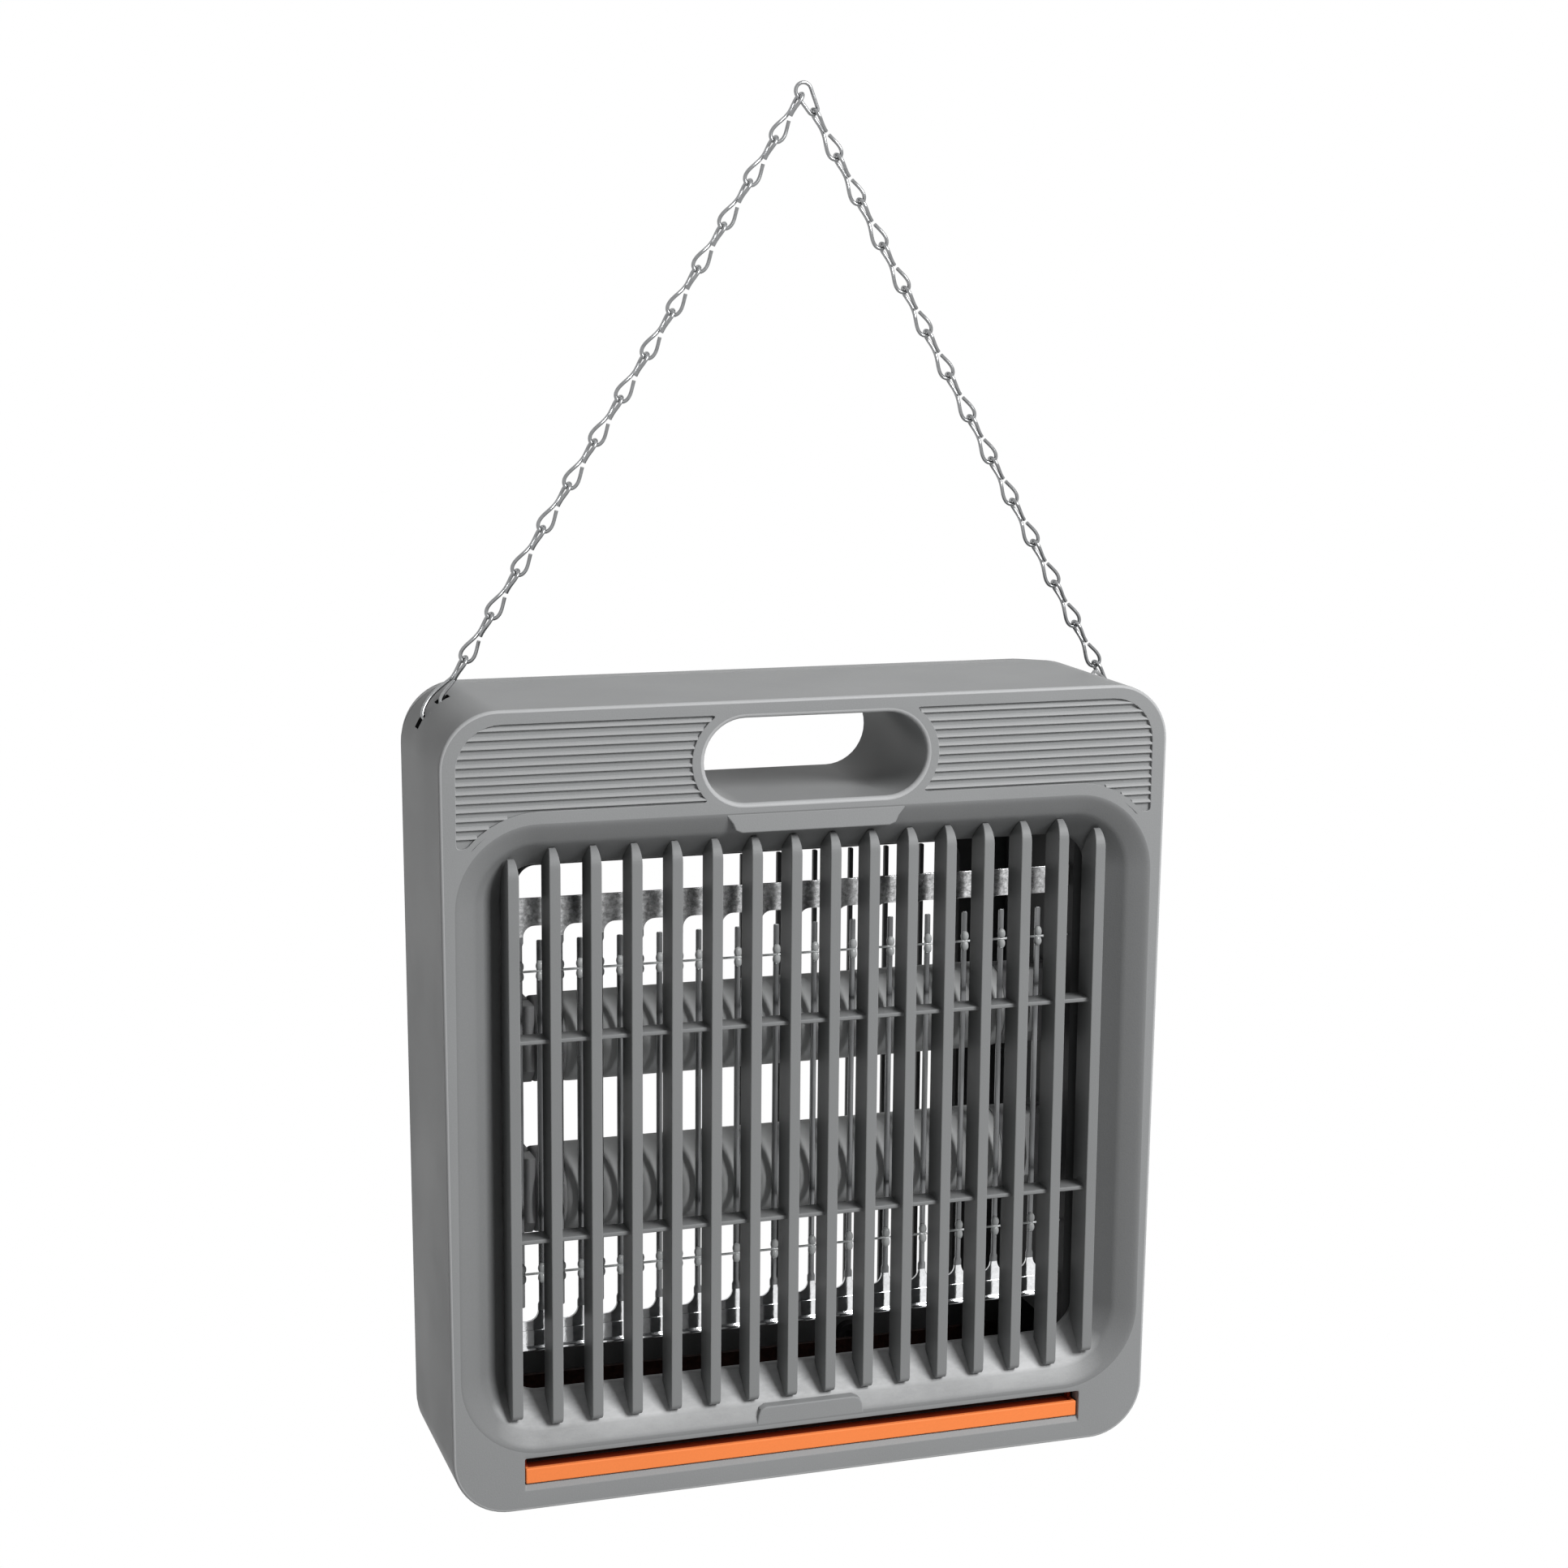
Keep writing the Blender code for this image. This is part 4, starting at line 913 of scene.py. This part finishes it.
def buildTray():
    low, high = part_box("collecting_tray")
    size = {name: length / 1000 for name, length in tray.items()}
    wall, past = size["wall"], size["past"]
    left, right, roof = low.x + wall, high.x - wall, high.z + past
    barBack = low.y + size["barThick"]
    recessBack = barBack + size["recess"]
    bm = bmesh.new()
    addBox(bm, low, high)
    piece = addPiece("collectingTray", bm, "tray", ("collecting_tray",), "tray")
    bm = bmesh.new()  # well, and finger room behind the bar
    addBox(bm, (left, recessBack + wall, low.z + wall), (right, high.y - wall, roof))
    addBox(bm, (left, barBack, high.z - size["recessDeep"]), (right, recessBack, roof))
    cutPiece(piece, bm)
    bm = bmesh.new()  # all above the bar
    middle = barBack + size["recess"] / 2
    addBox(bm, (low.x - past, low.y - past, low.z + size["bar"]), (high.x + past, middle, roof))
    cutPiece(piece, bm)
    roundEdges(piece, tray["soft"])
    evenNormals(piece)


# lamps

lamp = {
    "axis": 48.0, "heights": {"lower": 122.0, "upper": 187.5}, "radius": 18.75, "end": 109.9, "cap": 12.0,
    "sides": 64,
    # in from the cap and from the end, and under the radius
    "neck": ((0.2, 1.4), (0.9, 0.55), (2.2, 0.12), (4.0, 0.0)),
    "skirt": ((0.0, 4.5), (0.0, 2.2), (0.5, 1.2), (1.4, 0.75), (11.2, 0.7), (12.0, 1.0)),
}
pin = {"apart": 6.35, "radius": 1.17, "shape": ((-0.2, 1.0), (6.4, 1.0), (7.0, 0.6)), "sides": 12}


def buildLamps():
    radius, end = lamp["radius"], lamp["end"]
    neck = [(end - lamp["cap"] - x, radius - under) for x, under in lamp["neck"]]
    skirt = [(end - x, radius - under) for x, under in lamp["skirt"]]
    prong = [(end + x, pin["radius"] * share) for x, share in pin["shape"]]
    for level, z in lamp["heights"].items():
        bm = bmesh.new()
        addTurned(bm, [(-x, r) for x, r in neck] + neck[::-1], lamp["axis"], z, lamp["sides"])
        facesOut(bm)
        addPiece(f"{level}LampTube", bm, "tube", (f"{level}_lamp",))
        bm = bmesh.new()
        for side in (-1, 1):
            addTurned(bm, [(side * x, r) for x, r in skirt], lamp["axis"], z, lamp["sides"])
            for height in (z - pin["apart"], z + pin["apart"]):
                addTurned(bm, [(side * x, r) for x, r in prong], lamp["axis"], height, pin["sides"])
        facesOut(bm)
        addPiece(f"{level}LampCaps", bm, "cap")


# chain

chain = {
    "links": 13, "pitch": 20.8, "wire": 0.8, "gap": 0.5, "loop": 2.3, "opening": 1.2, "points": 56,
    "sides": 12, "y": 66.0, "smooth": 50.0,  # wire is half its thickness
}
eye = {"radius": 3.4, "tip": 2.1, "length": 10.5, "points": 30, "tipPoints": 16}
endLink = {
    "turn": 86.0, "points": 26, "clear": 1.3, "cadWall": 2.5, "crossAt": 0.75, "crossShare": 0.7,
    "rounds": 3, "waists": {-1: (80.0, 3.0), 1: (30.0, 5.0)},  # angle round the corner, height over it
}
inLoop = chain["wire"] + chain["gap"] / 2  # half the way between the middle lines of two joined wires


def cornerPoint(side, degrees, inset, aside=0.0):
    angle = math.radians(degrees)
    radius = case["corner"] - inset
    x = case["half"] - case["corner"] + radius * math.cos(angle)
    z = case["height"] - case["corner"] + radius * math.sin(angle)
    return Vector((side * x, chain["y"] + aside, z))


def linkReach():
    return (chain["pitch"] + 2 * chain["wire"] + chain["gap"]) / 2


def linkPath(first, last, count):  # figure of eight with a quarter twist
    reach = linkReach()
    points = []
    for k in range(count):
        turn = math.radians(first + (last - first) * k / (count - 1))
        along = reach * math.cos(turn)
        t = (along / reach + 1) / 2
        plane = math.pi / 2 * t * t * (3 - 2 * t)
        swing = chain["loop"] * math.sin(2 * turn)
        part = inLoop * math.sin(turn) / math.sqrt(2)
        points.append(Vector((swing * math.cos(plane) - part, swing * math.sin(plane) + part, along)))
    return points


def sweepWire(bm, points, closed=False):
    count, sides = len(points), chain["sides"]
    turns = [2 * math.pi * i / sides for i in range(sides)]
    rings = []
    tangent = (points[1] - points[-1 if closed else 0]).normalized()
    normal = tangent.orthogonal().normalized()
    for k, middle in enumerate(points):
        before = points[(k - 1) % count] if closed or k else middle
        after = points[(k + 1) % count] if closed or k < count - 1 else middle
        heading = (after - before).normalized()
        normal = (normal - heading * normal.dot(heading)).normalized()
        side = heading.cross(normal)
        loop = [middle + chain["wire"] * (normal * math.cos(a) + side * math.sin(a)) for a in turns]
        rings.append(addRing(bm, [at(*p) for p in loop]))
    if closed:
        shift = min(range(sides), key=lambda s: (rings[0][s].co - rings[-1][0].co).length)
        joinRings(bm, rings)
        joinRings(bm, [rings[-1], rings[0][shift:] + rings[0][:shift]])
    else:
        capRings(bm, rings)
    facesOut(bm)


def roundCorners(points, rounds):
    for _ in range(rounds):
        made = [points[0]]
        for a, b in zip(points, points[1:]):
            made += [a.lerp(b, 0.25), a.lerp(b, 0.75)]
        points = made + [points[-1]]
    return points


def addWire(name, points, body, node, closed=False):
    bm = bmesh.new()
    sweepWire(bm, points, closed)
    addPiece(name, bm, "wire", (node,), body, chain["smooth"])


def endLinkBend(side):  # in at one hole, behind the strip and out at the other
    wire, clear = chain["wire"], endLink["clear"]
    low, high = anchor["angles"]
    inward = math.degrees((anchor["hole"] / 2 - wire - clear / 2) / case["corner"])
    deep = endLink["cadWall"] + wire + clear
    route = [(low + inward, -wire), (low + inward, deep), ((low + high) / 2, deep + wire)]
    route += [(high - inward, deep), (high - inward, -wire)]
    over = low + endLink["crossAt"] * (high - low)
    crossing = (over, -2 * wire - clear)  # outside the strip between the holes
    route.insert(0 if side < 0 else len(route), crossing)
    points = []
    for k, (degrees, inset) in enumerate(route):
        aside = anchor["depth"] - chain["y"] + inLoop * (1 - 2 * k / (len(route) - 1))
        if (degrees, inset) == crossing:
            aside *= endLink["crossShare"]
        points.append(cornerPoint(side, degrees, inset, aside))
    return points


def eyePath(middle, toward):
    across = Vector((0, 1, 0)).cross(toward)
    run = eye["length"] - eye["tip"]
    lean = math.acos((eye["radius"] - eye["tip"]) / run)
    bends = (
        (0, eye["radius"], lean, 2 * math.pi - lean, eye["points"]),
        (run, eye["tip"], -lean, lean, eye["tipPoints"]),
    )
    points = []
    for shift, radius, first, last, count in bends:
        for k in range(count):
            angle = first + (last - first) * k / (count - 1)
            out = toward * (shift + radius * math.cos(angle))
            points.append(middle + out + across * radius * math.sin(angle))
    return points


def buildChain():
    feet = {}
    for side, (degrees, height) in endLink["waists"].items():
        feet[side] = cornerPoint(side, degrees, -height)
    straight = (chain["links"] + 0.5) * chain["pitch"] - inLoop
    left, right = straight + eye["radius"], straight + eye["length"]
    base = feet[1] - feet[-1]
    span = base.length
    along = (left**2 - right**2 + span**2) / (2 * span)
    rise = math.sqrt(left**2 - along**2)
    middle = feet[-1] + base * (along / span) + Vector((-base.z, 0, base.x)) * (rise / span)
    cut = math.degrees(chain["opening"] * 2 * chain["wire"] / linkReach())
    plain = linkPath(-90 + cut / 2, 270 - cut / 2, chain["points"])
    for side, name in ((-1, "left"), (1, "right")):
        heading = (middle - feet[side]).normalized()
        turn = Matrix((Vector((0, 1, 0)).cross(heading), Vector((0, 1, 0)), heading)).transposed()
        for k in range(1, chain["links"] + 1):
            place = feet[side] + heading * (k * chain["pitch"])
            link = [place + turn @ p for p in plain]
            addWire(f"{name}Link{k:02d}", link, "chain", f"{name}_chain_link_{k:02d}")
        half = linkPath(-endLink["turn"], endLink["turn"], endLink["points"])
        upper = [feet[side] + turn @ p for p in half]
        lower = roundCorners([upper[-1]] + endLinkBend(side) + [upper[0]], endLink["rounds"])
        addWire(f"{name}EndLink", upper + lower[1:-2], "housing", f"{name}_end_link")
    toward = (feet[1] - middle).normalized()
    addWire("topEye", eyePath(middle, toward), "chain", "top_eye", closed=True)


# nodes that keep their CAD shape, with finish and softness

kept = {
    "left_side_panel": ("panel", 0.4), "right_side_panel": ("panel", 0.4),
    "upper_left_insulator": ("white", 0.3), "upper_right_insulator": ("white", 0.3),
    "lower_left_insulator": ("white", 0.3), "lower_right_insulator": ("white", 0.3),
    "upper_left_lamp_holder": ("holder", 0.8), "upper_right_lamp_holder": ("holder", 0.8),
    "lower_left_lamp_holder": ("holder", 0.8), "lower_right_lamp_holder": ("holder", 0.8),
    "ballast": ("core", 0.8), "high_voltage_transformer": ("core", 0.8), "terminal_block": ("white", 0.8),
    "left_starter": ("white", 0.6), "right_starter": ("white", 0.6), "cord_gland": ("dark", 0.5),
}


def dressKept():
    for node, (finish, soft) in kept.items():
        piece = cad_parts[node]
        piece.data.materials.clear()
        piece.data.materials.append(finishes[finish])
        roundEdges(piece, soft)


buildFrontShell()
buildGripRibs()
buildTabs()
print("front shell ready")
buildRearShell()
print("rear shell ready")
buildFrontGuard()
buildGuardPlates()
buildRearGuard()
print("guards ready")
buildElectrodes()
buildLamps()
buildTray()
print("electrodes, lamps and tray ready")
buildChain()
print("chain ready")
dressKept()
print("inner pieces ready")

# floor, light and camera

studio = {
    "floor": -1.45, "reach": 14.0, "paper": (0.85, 0.85, 0.85, 1), "paperRough": 0.9, "world": 0.155,
    "aim": (0.0, 50.0, 170.0),
    "lights": {
        "key": {"power": 50.0, "size": 0.85, "place": (0.85, -1.5, 1.2)},
        "fill": {"power": 0.2, "size": 1.6, "place": (-1.2, -1.6, 0.3)},
        "top": {"power": 1.5, "size": 1.4, "place": (0.1, -0.2, 1.6)},
    },
}
view = {
    "target": (-14.3, 0.0, 299.3), "distance": 1.1647, "yaw": -18.247, "pitch": 10.388, "roll": 0.48,
    "lens": 65.98, "sensor": 36.0, "near": 0.01,
}


def whiteToCamera(made, light, base, output):
    rays = addNode(made, "ShaderNodeLightPath").outputs
    seen = addMath(made, "MAXIMUM", rays["Is Camera Ray"], rays["Is Glossy Ray"])
    seen = addMath(made, "MAXIMUM", seen, rays["Is Transmission Ray"])
    mixed = addNode(made, "ShaderNodeMixShader", {0: seen, 1: base.outputs[0], 2: light.outputs[0]})
    feed(made, made.node_tree.nodes[output].inputs["Surface"], mixed.outputs[0])


def buildWorld():
    world = bpy.data.worlds.new("studioWorld")
    world.use_nodes = True
    bpy.context.scene.world = world
    white = (1, 1, 1, 1)
    soft = world.node_tree.nodes["Background"]
    soft.inputs["Color"].default_value = white
    soft.inputs["Strength"].default_value = studio["world"]
    whiteToCamera(world, addNode(world, "ShaderNodeBackground", {"Color": white}), soft, "World Output")


def buildFloor():
    reach, level = studio["reach"], studio["floor"]
    corners = ((-reach, -reach), (reach, -reach), (reach, reach), (-reach, reach))
    bm = bmesh.new()
    bm.faces.new(addRing(bm, [(x, y, level) for x, y in corners]))
    floor = placeMesh("floor", bm)
    paper = bpy.data.materials.new("floorPaper")
    paper.use_nodes = True
    setShader(paper, {"Base Color": studio["paper"], "Roughness": studio["paperRough"]})
    glow = addNode(paper, "ShaderNodeEmission")
    whiteToCamera(paper, glow, paper.node_tree.nodes["Principled BSDF"], "Material Output")
    floor.data.materials.append(paper)


def buildLights():
    aim = at(*studio["aim"])
    for name, light in studio["lights"].items():
        panel = bpy.data.lights.new(name, "AREA")
        panel.energy = light["power"]
        panel.size = light["size"]
        placed = bpy.data.objects.new(name, panel)
        placed.location = aim + Vector(light["place"])
        placed.rotation_euler = (aim - placed.location).to_track_quat("-Z", "Y").to_euler()
        bpy.context.scene.collection.objects.link(placed)


def buildCamera():
    yaw, pitch, roll = (math.radians(view[name]) for name in ("yaw", "pitch", "roll"))
    back = Vector((math.sin(yaw) * math.cos(pitch), -math.cos(yaw) * math.cos(pitch), math.sin(pitch)))
    right = (-back).cross(Vector((0, 0, 1))).normalized()
    up = right.cross(-back)
    tiltRight = right * math.cos(roll) + up * math.sin(roll)
    tiltUp = up * math.cos(roll) - right * math.sin(roll)
    data = bpy.data.cameras.new("camera")
    data.lens = view["lens"]
    data.sensor_width = view["sensor"]
    data.clip_start = view["near"]
    camera = bpy.data.objects.new("camera", data)
    place = Matrix((tiltRight, tiltUp, back)).transposed().to_4x4()
    place.translation = at(*view["target"]) + back * view["distance"]
    camera.matrix_world = place
    bpy.context.scene.collection.objects.link(camera)
    bpy.context.scene.camera = camera


bpy.context.scene.view_settings.view_transform = "Standard"
buildWorld()
buildFloor()
buildLights()
buildCamera()
print("studio ready")
